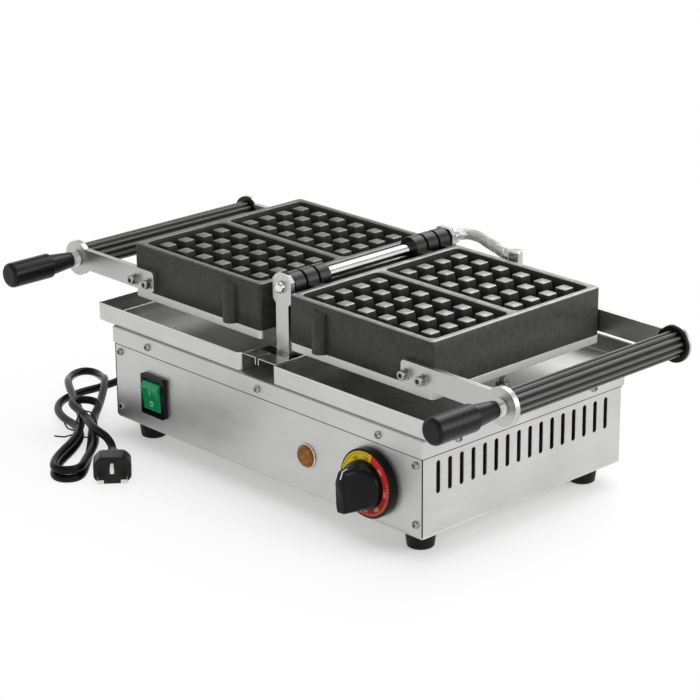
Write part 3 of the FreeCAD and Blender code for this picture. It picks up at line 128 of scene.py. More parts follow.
def srgb(code: str) -> tuple[float, float, float, float]:
    """Turn an sRGB hex colour to linear RGBA.

    Args:
        code: colour such as "#a0b0c0".

    Returns:
        Linear red, green, blue and an alpha of 1.
    """
    parts = [int(code[i:i + 2], 16) / 255 for i in (1, 3, 5)]
    linear = [c / 12.92 if c <= 0.04045 else ((c + 0.055) / 1.055) ** 2.4 for c in parts]
    return (linear[0], linear[1], linear[2], 1.0)


def darker(code: str, share: float) -> str:
    """Scale an sRGB hex colour down by a share."""
    return "#" + "".join("%02x" % int(int(code[i:i + 2], 16) * share) for i in (1, 3, 5))


def output(source: Node | Socket) -> Socket:
    """Take a socket as it is, and of a node its first live output."""
    return source if isinstance(source, Socket) else next(s for s in source.outputs if s.enabled)


def add(tree: bpy.types.NodeTree, kind: str, inputs: dict | None = None, **settings: Any) -> Node:
    """Add one node with its settings and links.

    Args:
        tree: node tree that takes the node.
        kind: the node's type.
        inputs: socket name or number to a value, to a node or output to link, or to a list of those.
        settings: the node's own properties.

    Returns:
        The new node.
    """
    node = tree.nodes.new(kind)
    for name, value in settings.items():
        setattr(node, name, value)
    for key, value in (inputs or {}).items():
        for entry in value if isinstance(value, list) else [value]:
            if isinstance(entry, (Node, Socket)):
                tree.links.new(output(entry), node.inputs[key])
            else:
                node.inputs[key].default_value = entry
    return node


@dataclass
class Coat:
    """A material while it is painted: its tree, its shader and the coordinates that its patterns follow."""

    tree: bpy.types.NodeTree
    shader: Node
    places: Node

    @property
    def spot(self) -> Socket:
        """Place on the piece, in metres in the CAD frame."""
        return self.places.outputs["Object"]

    def node(self, kind: str, inputs: dict | None = None, **settings: Any) -> Node:
        """Add a node to the material."""
        return add(self.tree, kind, inputs, **settings)

    def lead(self, source: Node, name: str) -> None:
        """Link a node to one of the shader's sockets."""
        self.tree.links.new(output(source), self.shader.inputs[name])


@dataclass(frozen=True)
class Finish:
    """A surface finish that builds its own material once.

    Where a finish has a relief, it is the share of the bump that shows and the bump's height in millimetres.
    A contrast is the least and the greatest value of a pattern that are told apart.
    """

    name: str
    colour: str
    roughness: float
    metallic: float = 0.0
    specular: float = 0.5

    def material(self) -> bpy.types.Material:
        """Build the material on first use, and find it again later.

        Returns:
            The material.
        """
        found = bpy.data.materials.get(self.name)
        if found:
            return found
        made = bpy.data.materials.new(self.name)
        made.use_nodes = True
        made.diffuse_color = srgb(self.colour)
        tree = made.node_tree
        tree.nodes.clear()
        shader = add(tree, "ShaderNodeBsdfPrincipled", {
            "Base Color": srgb(self.colour), "Roughness": self.roughness, "Metallic": self.metallic,
            "Specular IOR Level": self.specular})
        add(tree, "ShaderNodeOutputMaterial", {"Surface": shader})
        self.dress(Coat(tree, shader, add(tree, "ShaderNodeTexCoord")))
        return made

    def dress(self, coat: Coat) -> None:
        """Add the finish's own pattern to the plain shader.

        Args:
            coat: the material, plain so far.
        """

    def lay(self, coat: Coat, tone: tuple | None, rough: tuple | None, bump: tuple | None) -> None:
        """Lead patterns from 0 to 1 into the shader.

        Args:
            coat: the material.
            tone: a pattern, the base colour where it is 0 and the one where it is 1.
            rough: a pattern, and how far the roughness strays with it each way.
            bump: a pattern, the share of its relief that shows and the relief's height in millimetres.
        """
        if tone:
            colours = {"Factor": tone[0], "A": srgb(tone[1]), "B": srgb(tone[2])}
            coat.lead(coat.node("ShaderNodeMix", colours, data_type="RGBA"), "Base Color")
        if rough:
            factor, spread = rough
            limits = {"Value": factor, "To Min": self.roughness - spread, "To Max": self.roughness + spread}
            coat.lead(coat.node("ShaderNodeMapRange", limits), "Roughness")
        if bump:
            relief = {"Height": bump[0], "Strength": bump[1], "Distance": mm(bump[2])}
            coat.lead(coat.node("ShaderNodeBump", relief), "Normal")


@dataclass(frozen=True)
class BrushedStainless(Finish):
    """Stainless sheet brushed with a belt: fine parallel lines, an uneven sheen and a few handling smears.

    The lines of a 180 grit belt are about 0.1 mm apart. They are drawn 0.7 mm apart, so that they show.
    A face is level where its normal's z is more than level.
    """

    grain: Grain = Grain.LEVEL
    top_grain: Grain = Grain.DEEP
    level: float = 0.7
    smear_size: float = 45.0
    smear_share: float = 0.35
    contrast: Pair = (0.32, 0.68)
    shade: float = 0.9
    streak: float = 0.05
    relief: Pair = (0.06, 0.03)

    def dress(self, coat: Coat) -> None:
        """Lay brushing lines along walls and level faces, with wide smears over them.

        Args:
            coat: the material, plain so far.
        """
        lines = []
        for grain in (self.grain, self.top_grain):
            laid = coat.node("ShaderNodeMapping", {"Vector": coat.spot, "Scale": grain.value})
            lines.append(coat.node("ShaderNodeTexNoise", {
                "Vector": laid, "Scale": 1.0, "Detail": 3.0, "Roughness": 0.6}))
        way = coat.node("ShaderNodeSeparateXYZ", {"Vector": coat.places.outputs["Normal"]})
        steep = coat.node("ShaderNodeMath", {0: way.outputs["Z"]}, operation="ABSOLUTE")
        flat = coat.node("ShaderNodeMath", {0: steep, 1: self.level}, operation="GREATER_THAN")
        brushed = coat.node("ShaderNodeMix", {"Factor": flat, "A": lines[0], "B": lines[1]})
        smears = coat.node("ShaderNodeTexNoise", {
            "Vector": coat.spot, "Scale": PER_METRE / self.smear_size, "Detail": 3.0})
        both = coat.node("ShaderNodeMix", {"Factor": self.smear_share, "A": brushed, "B": smears})
        least, most = self.contrast
        sheen = coat.node("ShaderNodeMapRange", {"Value": both, "From Min": least, "From Max": most})
        dark = darker(self.colour, self.shade)
        self.lay(coat, (sheen, dark, self.colour), (sheen, self.streak), (brushed, *self.relief))


@dataclass(frozen=True)
class CastIron(Finish):
    """Seasoned cast iron: a dark, slightly oily skin with the sand mould's pits.

    The pits are about 0.5 mm across and are drawn at 1.8 mm, so that they show.
    """

    pit: float = 1.8
    mottle: float = 6.0
    light: str = "#3a3a38"
    contrast: Pair = (0.3, 0.7)
    oil: float = 0.12
    relief: Pair = (0.5, 0.3)

    def dress(self, coat: Coat) -> None:
        """Add sand pits, and patches where the seasoning is thicker.

        Args:
            coat: the material, plain so far.
        """
        pits = coat.node("ShaderNodeTexNoise", {
            "Vector": coat.spot, "Scale": PER_METRE / self.pit, "Detail": 3.0, "Roughness": 0.65})
        patches = coat.node("ShaderNodeTexNoise", {
            "Vector": coat.spot, "Scale": PER_METRE / self.mottle, "Detail": 4.0, "Roughness": 0.6})
        both = coat.node("ShaderNodeMix", {"Factor": 0.5, "A": patches, "B": pits})
        least, most = self.contrast
        grains = coat.node("ShaderNodeMapRange", {"Value": both, "From Min": least, "From Max": most})
        self.lay(coat, (grains, self.colour, self.light), (both, self.oil), (pits, *self.relief))


@dataclass(frozen=True)
class CavityShadeIron(CastIron):
    """Cast iron in the cavities: the same skin, blacker towards the floor as painted shade in the cavities.
    """

    top: float = 195.0
    fade: float = 12.0
    # Colour at the cavity floor: painted shade.
    soot: str = "#030303"
    oil: float = 0.1
    relief: Pair = (0.3, 0.1)

    def dress(self, coat: Coat) -> None:
        """Darken the iron with depth as painted shade, and add the sand pits.

        Args:
            coat: the material, plain so far.
        """
        parts = coat.node("ShaderNodeSeparateXYZ", {"Vector": coat.spot})
        depth = coat.node("ShaderNodeMapRange", {
            "Value": parts.outputs["Z"], "From Min": mm(self.top - self.fade), "From Max": mm(self.top)})
        pits = coat.node("ShaderNodeTexNoise", {
            "Vector": coat.spot, "Scale": PER_METRE / self.pit, "Detail": 3.0, "Roughness": 0.65})
        self.lay(coat, (depth, self.soot, self.light), (pits, self.oil), (pits, *self.relief))


@dataclass(frozen=True)
class GroundIron(Finish):
    """Cast iron ground flat on the land and the peg tops: a dull grey metal with fine grinding lines.

    The grinding lines are about 0.2 mm apart and are drawn 0.9 mm apart and 25 mm long, so that they show.
    """

    line: float = 0.9
    run: float = 25.0
    burnt: float = 14.0
    contrast: Pair = (0.35, 0.62)
    shade: float = 0.72
    sheen: float = 0.1
    relief: Pair = (0.2, 0.05)

    def dress(self, coat: Coat) -> None:
        """Lay grinding lines across the plate and darken patches where batter has burnt on.

        Args:
            coat: the material, plain so far.
        """
        along = PER_METRE / self.run
        laid = coat.node("ShaderNodeMapping", {
            "Vector": coat.spot, "Scale": (PER_METRE / self.line, along, along)})
        lines = coat.node("ShaderNodeTexNoise", {"Vector": laid, "Scale": 1.0, "Detail": 2.0})
        patches = coat.node("ShaderNodeTexNoise", {
            "Vector": coat.spot, "Scale": PER_METRE / self.burnt, "Detail": 4.0, "Roughness": 0.7})
        both = coat.node("ShaderNodeMix", {"Factor": 0.5, "A": lines, "B": patches})
        least, most = self.contrast
        spread = coat.node("ShaderNodeMapRange", {"Value": both, "From Min": least, "From Max": most})
        dark = darker(self.colour, self.shade)
        self.lay(coat, (spread, dark, self.colour), (both, self.sheen), (lines, *self.relief))


@dataclass(frozen=True)
class TurnedMetal(Finish):
    """Plated or turned steel: a clean bright metal, its sheen broken by fine tool marks and light stains.

    The tool marks are about 0.1 mm apart and are drawn at 0.6 mm, so that they show.
    """

    mark: float = 0.6
    stain: float = 12.0
    shade: float = 0.9
    spread: float = 0.06
    relief: Pair = (0.02, 0.02)

    def dress(self, coat: Coat) -> None:
        """Break up the sheen with fine marks and faint stains.

        Args:
            coat: the material, plain so far.
        """
        marks = coat.node("ShaderNodeTexNoise", {
            "Vector": coat.spot, "Scale": PER_METRE / self.mark, "Detail": 2.0})
        stains = coat.node("ShaderNodeTexNoise", {
            "Vector": coat.spot, "Scale": PER_METRE / self.stain, "Detail": 3.0})
        both = coat.node("ShaderNodeMix", {"Factor": 0.5, "A": marks, "B": stains})
        dark = darker(self.colour, self.shade)
        self.lay(coat, (stains, dark, self.colour), (both, self.spread), (marks, *self.relief))


@dataclass(frozen=True)
class MouldedPlastic(Finish):
    """Moulded phenolic, ABS or rubber: one colour with a faint orange peel and dust in its lows."""

    peel: float = 2.2
    dust: float = 11.11
    relief: Pair = (0.12, 0.02)
    spread: float = 0.05
    light: str = "#141415"

    def dress(self, coat: Coat) -> None:
        """Add the mould's orange peel and a little dust.

        Args:
            coat: the material, plain so far.
        """
        peel = coat.node("ShaderNodeTexNoise", {
            "Vector": coat.spot, "Scale": PER_METRE / self.peel, "Detail": 2.0})
        dust = coat.node("ShaderNodeTexNoise", {
            "Vector": coat.spot, "Scale": PER_METRE / self.dust, "Detail": 5.0, "Roughness": 0.7})
        both = coat.node("ShaderNodeMix", {"Factor": 0.5, "A": peel, "B": dust})
        self.lay(coat, (dust, self.colour, self.light), (both, self.spread), (peel, *self.relief))


@dataclass(frozen=True)
class PaintedRibLight(Finish):
    """Black phenolic bar whose ribs are painted grey towards their crests as a highlight, and made smoother
    there.

    The axis is the x and z of a bar, and the reach is where the painted highlight starts and is full.
    """

    axis: Pair = (290.0, 162.0)
    reach: Pair = (11.2, 12.6)
    worn: str = "#5c5c5a"
    shine: float = 0.2

    def dress(self, coat: Coat) -> None:
        """Paint a highlight on the ribs and smooth them, by their distance from the axis of either bar.

        Args:
            coat: the material, plain so far.
        """
        parts = coat.node("ShaderNodeSeparateXYZ", {"Vector": coat.spot})
        from_middle = coat.node("ShaderNodeMath", {0: parts.outputs["X"]}, operation="ABSOLUTE")
        across = coat.node("ShaderNodeCombineXYZ", {"X": from_middle, "Z": parts.outputs["Z"]})
        spoke = coat.node("ShaderNodeVectorMath", {
            0: across, 1: mm(self.axis[0], 0.0, self.axis[1])}, operation="DISTANCE")
        start, full = self.reach
        # Lighter towards the ribs' crests: painted highlight.
        ridge_light = coat.node("ShaderNodeMapRange", {"Value": spoke, "From Min": mm(start), "From Max": mm(full)})
        matt = coat.node("ShaderNodeMath", {0: 1.0, 1: ridge_light}, operation="SUBTRACT")
        self.lay(coat, (ridge_light, self.colour, self.worn), (matt, self.shine), None)


@dataclass(frozen=True)
class FacetedLens(Finish):
    """Moulded polycarbonate with prisms about 3 mm across behind its face, its colour in darker and lighter
    patches, one for each prism: painted light through the prisms.
    """

    prism: float = 3.2
    dark: str = "#6f3d04"
    relief: Pair = (0.25, 0.2)
    gloss: float = 0.1
    gloss_roughness: float = 0.08

    def dress(self, coat: Coat) -> None:
        """Break the colour into the prisms' patches of painted light.

        Args:
            coat: the material, plain so far.
        """
        cells = coat.node("ShaderNodeTexVoronoi", {"Vector": coat.spot, "Scale": PER_METRE / self.prism})
        prism_light = coat.node("ShaderNodeSeparateColor", {"Color": cells.outputs["Color"]})
        self.lay(coat, (prism_light.outputs["Red"], self.dark, self.colour), None, (cells, *self.relief))
        coat.shader.inputs["Coat Weight"].default_value = self.gloss
        coat.shader.inputs["Coat Roughness"].default_value = self.gloss_roughness


@dataclass(frozen=True)
class PrintedScale(Finish):
    """Screen-printed aluminium ring: a yellow warming band, then red that deepens, and black where it is off.

    Angles are from the top, clockwise. The print's specks are finer than 0.3 mm and are drawn at 1.4 mm, so
    that they show.
    """

    middle: Triple = (149.7, -115.5, 57.0)
    warm: Pair = (-78.0, 16.0)
    red_from: float = 56.0
    deep_from: float = 120.0
    end: float = -164.0
    sharp: float = 0.2
    black: str = "#121212"
    yellow: str = "#f4cf0e"
    rose: str = "#d8362b"
    red: str = "#d01510"
    deep: str = "#a8100b"
    speck: float = 1.43
    speck_share: float = 0.05
    spread: float = 0.08

    def bands(self) -> list[tuple[float, str]]:
        """Put the printed colours in order round the ring, from the bottom.

        Returns:
            Angles and the colours there.
        """
        start, stop = self.warm
        return [(-180.0, self.deep), (self.end - self.sharp, self.deep), (self.end, self.black),
                (start, self.black), (start + self.sharp, self.yellow), (stop, self.yellow),
                (stop + self.sharp, self.rose), (self.red_from, self.red), (self.deep_from, self.deep)]

    def dress(self, coat: Coat) -> None:
        """Run the bands round the ring.

        Args:
            coat: the material, plain so far.
        """
        centred = coat.node("ShaderNodeMapping", {"Vector": coat.spot, "Location": -mm(*self.middle)})
        parts = coat.node("ShaderNodeSeparateXYZ", {"Vector": centred})
        angle = coat.node("ShaderNodeMath", {
            0: parts.outputs["X"], 1: parts.outputs["Z"]}, operation="ARCTAN2")
        share = coat.node("ShaderNodeMapRange", {
            "Value": angle, "From Min": -math.pi, "From Max": math.pi})
        printed = coat.node("ShaderNodeValToRGB", {"Fac": share})
        stops = self.bands()
        ramp = printed.color_ramp
        while len(ramp.elements) < len(stops):
            ramp.elements.new(1.0)
        for element, (turn, colour) in zip(ramp.elements, stops):
            element.position = turn / 360.0 + 0.5
            element.color = srgb(colour)
        specks = coat.node("ShaderNodeTexNoise", {"Vector": coat.spot, "Scale": PER_METRE / self.speck})
        inked = coat.node("ShaderNodeMix", {
            "Factor": self.speck_share, "A": printed, "B": specks.outputs["Color"]}, data_type="RGBA")
        coat.lead(inked, "Base Color")
        self.lay(coat, None, (specks, self.spread), None)


class Palette:
    """All finishes of the baker, by the part of it that wears them."""

    SHEET = BrushedStainless("stainless_brushed_sheet", "#d3d3d0", 0.42, 1.0)
    # Eased edges and hems are brighter than the faces: a painted highlight.
    EDGE = TurnedMetal("stainless_bright_edge", "#f0f0ee", 0.22, 1.0)
    TRAY = BrushedStainless("stainless_brushed_tray", "#d2d2cf", 0.3, 1.0, smear_size=30.0)
    ARM = BrushedStainless("stainless_flat_bar", "#c6c6c2", 0.36, 1.0)
    POST = BrushedStainless("stainless_bent_bar", "#cdcdc9", 0.33, 1.0, grain=Grain.ACROSS)
    IRON = CastIron("cast_iron_seasoned", "#1f1f1e", 0.42, specular=0.28, light="#444442")
    # Cavity iron darkens towards the floor: painted shade in the cavities.
    SOOT = CavityShadeIron("cast_iron_sooted", "#151515", 0.6, specular=0.14, light="#333331")
    KNUCKLE = CastIron("cast_iron_turned_black", "#0e0e0e", 0.3, specular=0.4, light="#191918")
    GROUND = GroundIron("cast_iron_ground", "#a9a9a5", 0.45, 1.0)
    # The left half's ground iron is a darker copy of the right's: painted shade.
    BURNT = GroundIron("cast_iron_ground_burnt", "#8b8b87", 0.45, 1.0)
    CHROME = TurnedMetal("chrome_polished_steel", "#ececec", 0.08, 1.0, spread=0.03)
    ZINC = TurnedMetal("zinc_plated_screw", "#aeaeab", 0.14, 1.0)
    COLLAR = TurnedMetal("steel_turned_collar", "#8f8e8b", 0.24, 1.0)
    FITTING = TurnedMetal("nickel_turned_fitting", "#c9c8c4", 0.26, 1.0)
    SHEATH = TurnedMetal("incoloy_element_sheath", "#6b6761", 0.5, 1.0)
    PIN = TurnedMetal("nickel_plated_pin", "#e2e0db", 0.18, 1.0)
    BRAID = TurnedMetal("stainless_wire_braid", "#d2d1ce", 0.4, 1.0)
    LAMP = TurnedMetal("chrome_lamp_ring", "#d8cfbf", 0.22, 1.0)
    # Ribs painted grey towards their crests: painted highlight.
    RIBBED = PaintedRibLight("phenolic_black_ribbed", "#020202", 0.32, specular=0.3)
    PHENOLIC = MouldedPlastic(
        "phenolic_black_moulded", "#050506", 0.28, specular=0.22, light="#0d0d0e", relief=(0.12, 0.006))
    CONTROL = MouldedPlastic("abs_black_moulded", "#050506", 0.26, specular=0.18, light="#0b0b0c")
    FOOT = MouldedPlastic("rubber_black_foot", "#070708", 0.5, specular=0.2)
    CORD = MouldedPlastic("rubber_black_lead", "#050506", 0.3, specular=0.15, light="#0c0c0d")
    PVC = MouldedPlastic("pvc_black_plug", "#060607", 0.33, specular=0.3, light="#0d0d0e")
    TIE = MouldedPlastic("pvc_black_tie", "#080808", 0.45, specular=0.3)
    ROCKER = MouldedPlastic("polycarbonate_green_rocker", "#088652", 0.18, light="#10a567")
    MARK = MouldedPlastic("ink_white_mark", "#d9e6df", 0.4, light="#e6efe9")
    DIAL_INK = MouldedPlastic("ink_black_mark", "#141210", 0.5, specular=0.2)
    LIGHT_INK = MouldedPlastic("ink_cream_mark", "#e0c9a6", 0.5, specular=0.2, light="#ead8bb")
    INNER = MouldedPlastic("thermoset_cream_block", "#cfc9bb", 0.5, light="#d8d3c6")
    # Lens patches from dark to light amber: painted light through its prisms.
    LENS = FacetedLens("polycarbonate_amber_lens", "#b56d0b", 0.24, specular=0.2)
    SCALE = PrintedScale("aluminium_printed_scale", "#d01510", 0.6, specular=0.08)


class Spline(Enum):
    """How a curve runs between its points, valued by the spline's type."""

    STRAIGHT = "POLY"
    SMOOTH = "NURBS"


def shaded(mesh: Mesh, angle: float) -> Mesh:
    """Smooth a mesh's shading up to an edge angle.

    Args:
        mesh: the mesh.
        angle: edges sharper than this many degrees stay hard.

    Returns:
        The same mesh.
    """
    mesh.shade_smooth()
    mesh.set_sharp_from_angle(angle=math.radians(angle))
    return mesh


def new_mesh(name: str, work: Work, angle: float = 35.0, turn_out: bool = True) -> Mesh:
    """Turn a bmesh into a mesh, smooth up to an edge angle.

    Args:
        name: the mesh's name.
        work: geometry, freed afterwards.
        angle: edges sharper than this many degrees stay hard.
        turn_out: turn all faces outwards first.

    Returns:
        The new mesh.
    """
    if turn_out:
        bmesh.ops.recalc_face_normals(work, faces=work.faces)
    mesh = bpy.data.meshes.new(name)
    work.to_mesh(mesh)
    work.free()
    return shaded(mesh, angle)


def as_mesh(holder: bpy.types.Object) -> Mesh:
    """Keep what an object comes to as a plain mesh, and remove the object.

    Args:
        holder: object that is not in the scene yet.

    Returns:
        The plain mesh.
    """
    bpy.context.scene.collection.objects.link(holder)
    bpy.context.view_layer.update()
    seen = bpy.context.evaluated_depsgraph_get()
    mesh = bpy.data.meshes.new_from_object(holder.evaluated_get(seen), depsgraph=seen)
    bpy.data.objects.remove(holder)
    return mesh


def place(name: str, mesh: Mesh | bpy.types.Curve, body: str,
          finishes: Sequence[Finish], stands_for: Iterable[str] = ()) -> bpy.types.Object:
    """Put a piece in the scene on its body.

    Args:
        name: the piece's name.
        mesh: its mesh or curve, in the CAD frame.
        body: CAD body that carries it.
        finishes: its finishes, in the order of its material slots.
        stands_for: CAD nodes that it replaces.

    Returns:
        The new object.
    """
    piece = bpy.data.objects.new(name, mesh)
    bpy.context.scene.collection.objects.link(piece)
    if not mesh.materials:
        for finish in finishes:
            mesh.materials.append(finish.material())
    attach(piece, body)
    nodes = list(stands_for)
    if nodes:
        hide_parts(*nodes)
    LOG.info("%s rides on %s", name, body)
    return piece


def rounded_edges(piece: bpy.types.Object, width: float, angle: float = 40.0, material: int = -1) -> None:
    """Round a piece's sharp edges.

    Args:
        piece: the piece.
        width: width of the rounding in millimetres.
        angle: edges sharper than this many degrees are rounded.
        material: material slot of the rounding, or -1 for that of the faces beside it.
    """
    bevel = piece.modifiers.new("eased_edges", "BEVEL")
    bevel.width = mm(width)
    bevel.segments = 2
    bevel.limit_method = "ANGLE"
    bevel.angle_limit = math.radians(angle)
    bevel.material = material
    normals = piece.modifiers.new("even_shading", "WEIGHTED_NORMAL")
    normals.keep_sharp = True


@dataclass
class Frame:
    """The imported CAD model: its nodes, their bodies and their material slots."""

    nodes: dict[str, bpy.types.Object]
    bodies: dict[str, str]
    slots: dict[str, str]

    @classmethod
    def load(cls) -> Frame:
        """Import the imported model.

        Returns:
            The model.
        """
        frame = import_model()
        record = frame["record"]
        bodies = {n: body for body, members in record["behaviour"]["bodies"].items() for n in members}
        slots = {entry["node"]: entry["material_slot"] for entry in record["subparts"]}
        return cls(frame["nodes"], bodies, slots)

    def paint(self, node: str, finish: Finish) -> None:
        """Give a CAD node a finish and leave its shape as it is.

        Args:
            node: the node's name.
            finish: its finish.
        """
        mesh = self.nodes[node].data
        mesh.materials.clear()
        mesh.materials.append(finish.material())
        LOG.info("%s painted %s", node, finish.name)

    def ease(self, node: str, finish: Finish, width: float = 0.4, angle: float = 40.0,
             edge: Finish | None = None) -> bpy.types.Object:
        """Replace a CAD node by a copy whose edges are eased, as tumbling or casting breaks a real edge.

        Args:
            node: the node's name.
            finish: its finish.
            width: width of the eased edge in millimetres.
            angle: edges sharper than this many degrees are eased.
            edge: finish of the eased edges, brighter than the faces as a painted highlight.

        Returns:
            The piece that replaces the node.
        """
        work = bmesh.new()
        work.from_mesh(self.nodes[node].data)
        bmesh.ops.remove_doubles(work, verts=work.verts, dist=SAME_SPOT)
        bmesh.ops.dissolve_limit(
            work, angle_limit=math.radians(SAME_PLANE), verts=work.verts, edges=work.edges)
        mesh = new_mesh(node + "_eased", work, turn_out=False)
        finishes = [finish, edge] if edge else [finish]
        piece = place(node + "_eased", mesh, self.bodies[node], finishes, [node])
        rounded_edges(piece, width, angle, 1 if edge else -1)
        return piece


@dataclass
class Pattern:
    """A Geometry Nodes tree with named inputs, run once into a plain mesh.

    A face looks up where its normal's z is more than looks_up.
    """

    name: str
    looks_up: float = 0.5
    smooth: float = 35.0

    def __post_init__(self) -> None:
        """Start the tree with its geometry sockets."""
        self.tree = bpy.data.node_groups.new(self.name, "GeometryNodeTree")
        for way in ("INPUT", "OUTPUT"):
            self.tree.interface.new_socket("Geometry", in_out=way, socket_type="NodeSocketGeometry")
        self.entry = add(self.tree, "NodeGroupInput")
        self.values: dict[str, Any] = {}

    @property
    def carried(self) -> Socket:
        """Geometry of the carrier that the tree is run on."""
        return self.entry.outputs["Geometry"]

    def given(self, name: str, kind: str, value: Any) -> Socket:
        """Declare a named input with its value.

        Args:
            name: the input's name.
            kind: end of its socket type, such as "Float".
            value: what the modifier is given for it.

        Returns:
            The socket that carries the value in the tree.
        """
        socket = self.tree.interface.new_socket(name, in_out="INPUT", socket_type="NodeSocket" + kind)
        self.values[socket.identifier] = value
        return self.entry.outputs[name]

    def node(self, kind: str, inputs: dict | None = None, **settings: Any) -> Node:
        """Add a node to this tree."""
        return add(self.tree, kind, inputs, **settings)

    def run(self, result: Node, finish: Finish, carrier: bpy.types.ID | None = None,
            top: Finish | None = None) -> Mesh:
        """Close the tree, run it on a carrier and keep the result as a plain mesh.

        Args:
            result: node that gives the geometry.
            finish: finish of the whole pattern.
            carrier: mesh or curve that the modifier sits on; an empty mesh if left out.
            top: finish of the faces that look up, where it differs.

        Returns:
            The plain mesh.
        """
        real = self.node("GeometryNodeRealizeInstances", {"Geometry": result})
        done = self.node("GeometryNodeSetMaterial", {"Geometry": real, "Material": finish.material()})
        if top:
            way = self.node("ShaderNodeSeparateXYZ", {"Vector": self.node("GeometryNodeInputNormal")})
            upper = self.node("ShaderNodeMath", {
                0: way.outputs["Z"], 1: self.looks_up}, operation="GREATER_THAN")
            done = self.node("GeometryNodeSetMaterial", {
                "Geometry": done, "Selection": upper, "Material": top.material()})
        self.node("NodeGroupOutput", {"Geometry": done})
        holder = bpy.data.objects.new(self.name + "_carrier", carrier or bpy.data.meshes.new(self.name))
        modifier = holder.modifiers.new(self.name, "NODES")
        modifier.node_group = self.tree
        for identifier, value in self.values.items():
            modifier[identifier] = value
        mesh = as_mesh(holder)
        mesh.name = self.name
        return shaded(mesh, self.smooth)


def ring(radius: float, height: float, steps: int) -> list[Vector]:
    """Level circle of points about the z axis, counter-clockwise.

    Args:
        radius: its radius in millimetres.
        height: its z in millimetres.
        steps: how many points.

    Returns:
        The points in metres.
    """
    angles = [FULL_TURN * i / steps for i in range(steps)]
    return [mm(radius * math.cos(a), radius * math.sin(a), height) for a in angles]


def rounded(x: Pair, y: Pair, inset: float, z: float, radius: float, steps: int = 4) -> list[Vector]:
    """Level rectangle with round corners, counter-clockwise.

    Args:
        x: its least and greatest x in millimetres, before the inset.
        y: its least and greatest y.
        inset: how far it is drawn in on each side.
        z: height.
        radius: corner radius.
        steps: edges in each corner.

    Returns:
        The points in metres.
    """
    (x0, x1), (y0, y1) = ((v[0] + inset + radius, v[1] - inset - radius) for v in (x, y))
    points = []
    for quarter, (u, v) in enumerate(((x1, y1), (x0, y1), (x0, y0), (x1, y0))):
        for i in range(steps + 1):
            angle = math.pi / 2 * (quarter + i / steps)
            points.append(mm(u + radius * math.cos(angle), v + radius * math.sin(angle), z))
    return points


def skin(work: Work, rings: Sequence[Sequence[Vector]], first: bool = False,
         last: bool = False) -> list[list[bmesh.types.BMVert]]:
    """Stretch a skin over rings of as many points each.

    Args:
        work: geometry that takes the skin.
        rings: the rings, in order.
        first: close the first ring.
        last: close the last ring.

    Returns:
        The rings' vertices.
    """
    made = [[work.verts.new(p) for p in points] for points in rings]
    for low, high in zip(made, made[1:]):
        for i in range(len(low)):
            j = (i + 1) % len(low)
            work.faces.new((low[i], low[j], high[j], high[i]))
    if first:
        work.faces.new(made[0][::-1])
    if last:
        work.faces.new(made[-1])
    return made


def between(work: Work, loops: Sequence[Sequence[bmesh.types.BMVert]]) -> None:
    """Fill the flat area between an outer loop of vertices and the loops inside it.

    Args:
        work: geometry that holds the loops.
        loops: the loops, each with its edges in place.
    """
    edges = []
    for loop in loops:
        for a, b in zip(loop, list(loop[1:]) + [loop[0]]):
            edges.append(work.edges.get((a, b)) or work.edges.new((a, b)))
    bmesh.ops.triangle_fill(work, use_beauty=True, use_dissolve=False, edges=edges)


def drawn(name: str, lines: Sequence[Sequence[Vector]], run: Spline, steps: int = 12) -> bpy.types.Curve:
    """Curve along lines of points.

    Args:
        name: the curve's name.
        lines: points of each line; one that ends on its first point is closed.
        run: how the lines run; a smooth one starts and ends on its end points.
        steps: edges to each point of a smooth line.

    Returns:
        The curve.
    """
    curve = bpy.data.curves.new(name, "CURVE")
    curve.dimensions = "3D"
    curve.resolution_u = steps
    for line in lines:
        closed = line[0] == line[-1]
        points = line[:-1] if closed else line
        spline = curve.splines.new(run.value)
        spline.points.add(len(points) - 1)
        for knot, point in zip(spline.points, points):
            knot.co = (*point, 1.0)
        spline.use_cyclic_u = closed
        if run is Spline.SMOOTH:
            spline.order_u = 3
            spline.use_endpoint_u = True
    return curve


def swept(name: str, lines: Sequence[Sequence[Vector]], radius: float, finish: Finish,
          steps: int = 10) -> Mesh:
    """Round wire or hem along lines of points.

    Args:
        name: name of the mesh.
        lines: points of each line; one that ends on its first point is closed.
        radius: half the thickness in millimetres.
        finish: its finish.
        steps: edges round the wire.

    Returns:
        The plain mesh.
    """
    rule = Pattern(name)
    outline = rule.node("GeometryNodeCurvePrimitiveCircle", {
        "Resolution": steps, "Radius": rule.given("Radius", "Float", mm(radius))})
    tube = rule.node("GeometryNodeCurveToMesh", {
        "Curve": rule.carried, "Profile Curve": outline, "Fill Caps": True})
    return rule.run(tube, finish, drawn(name + "_line", lines, Spline.STRAIGHT))


class SoftBox(NamedTuple):
    """A square lamp: its name, its place, the point that it faces, its size and its power in watts."""

    name: str
    spot: Triple
    aim: Triple
    size: float
    power: float


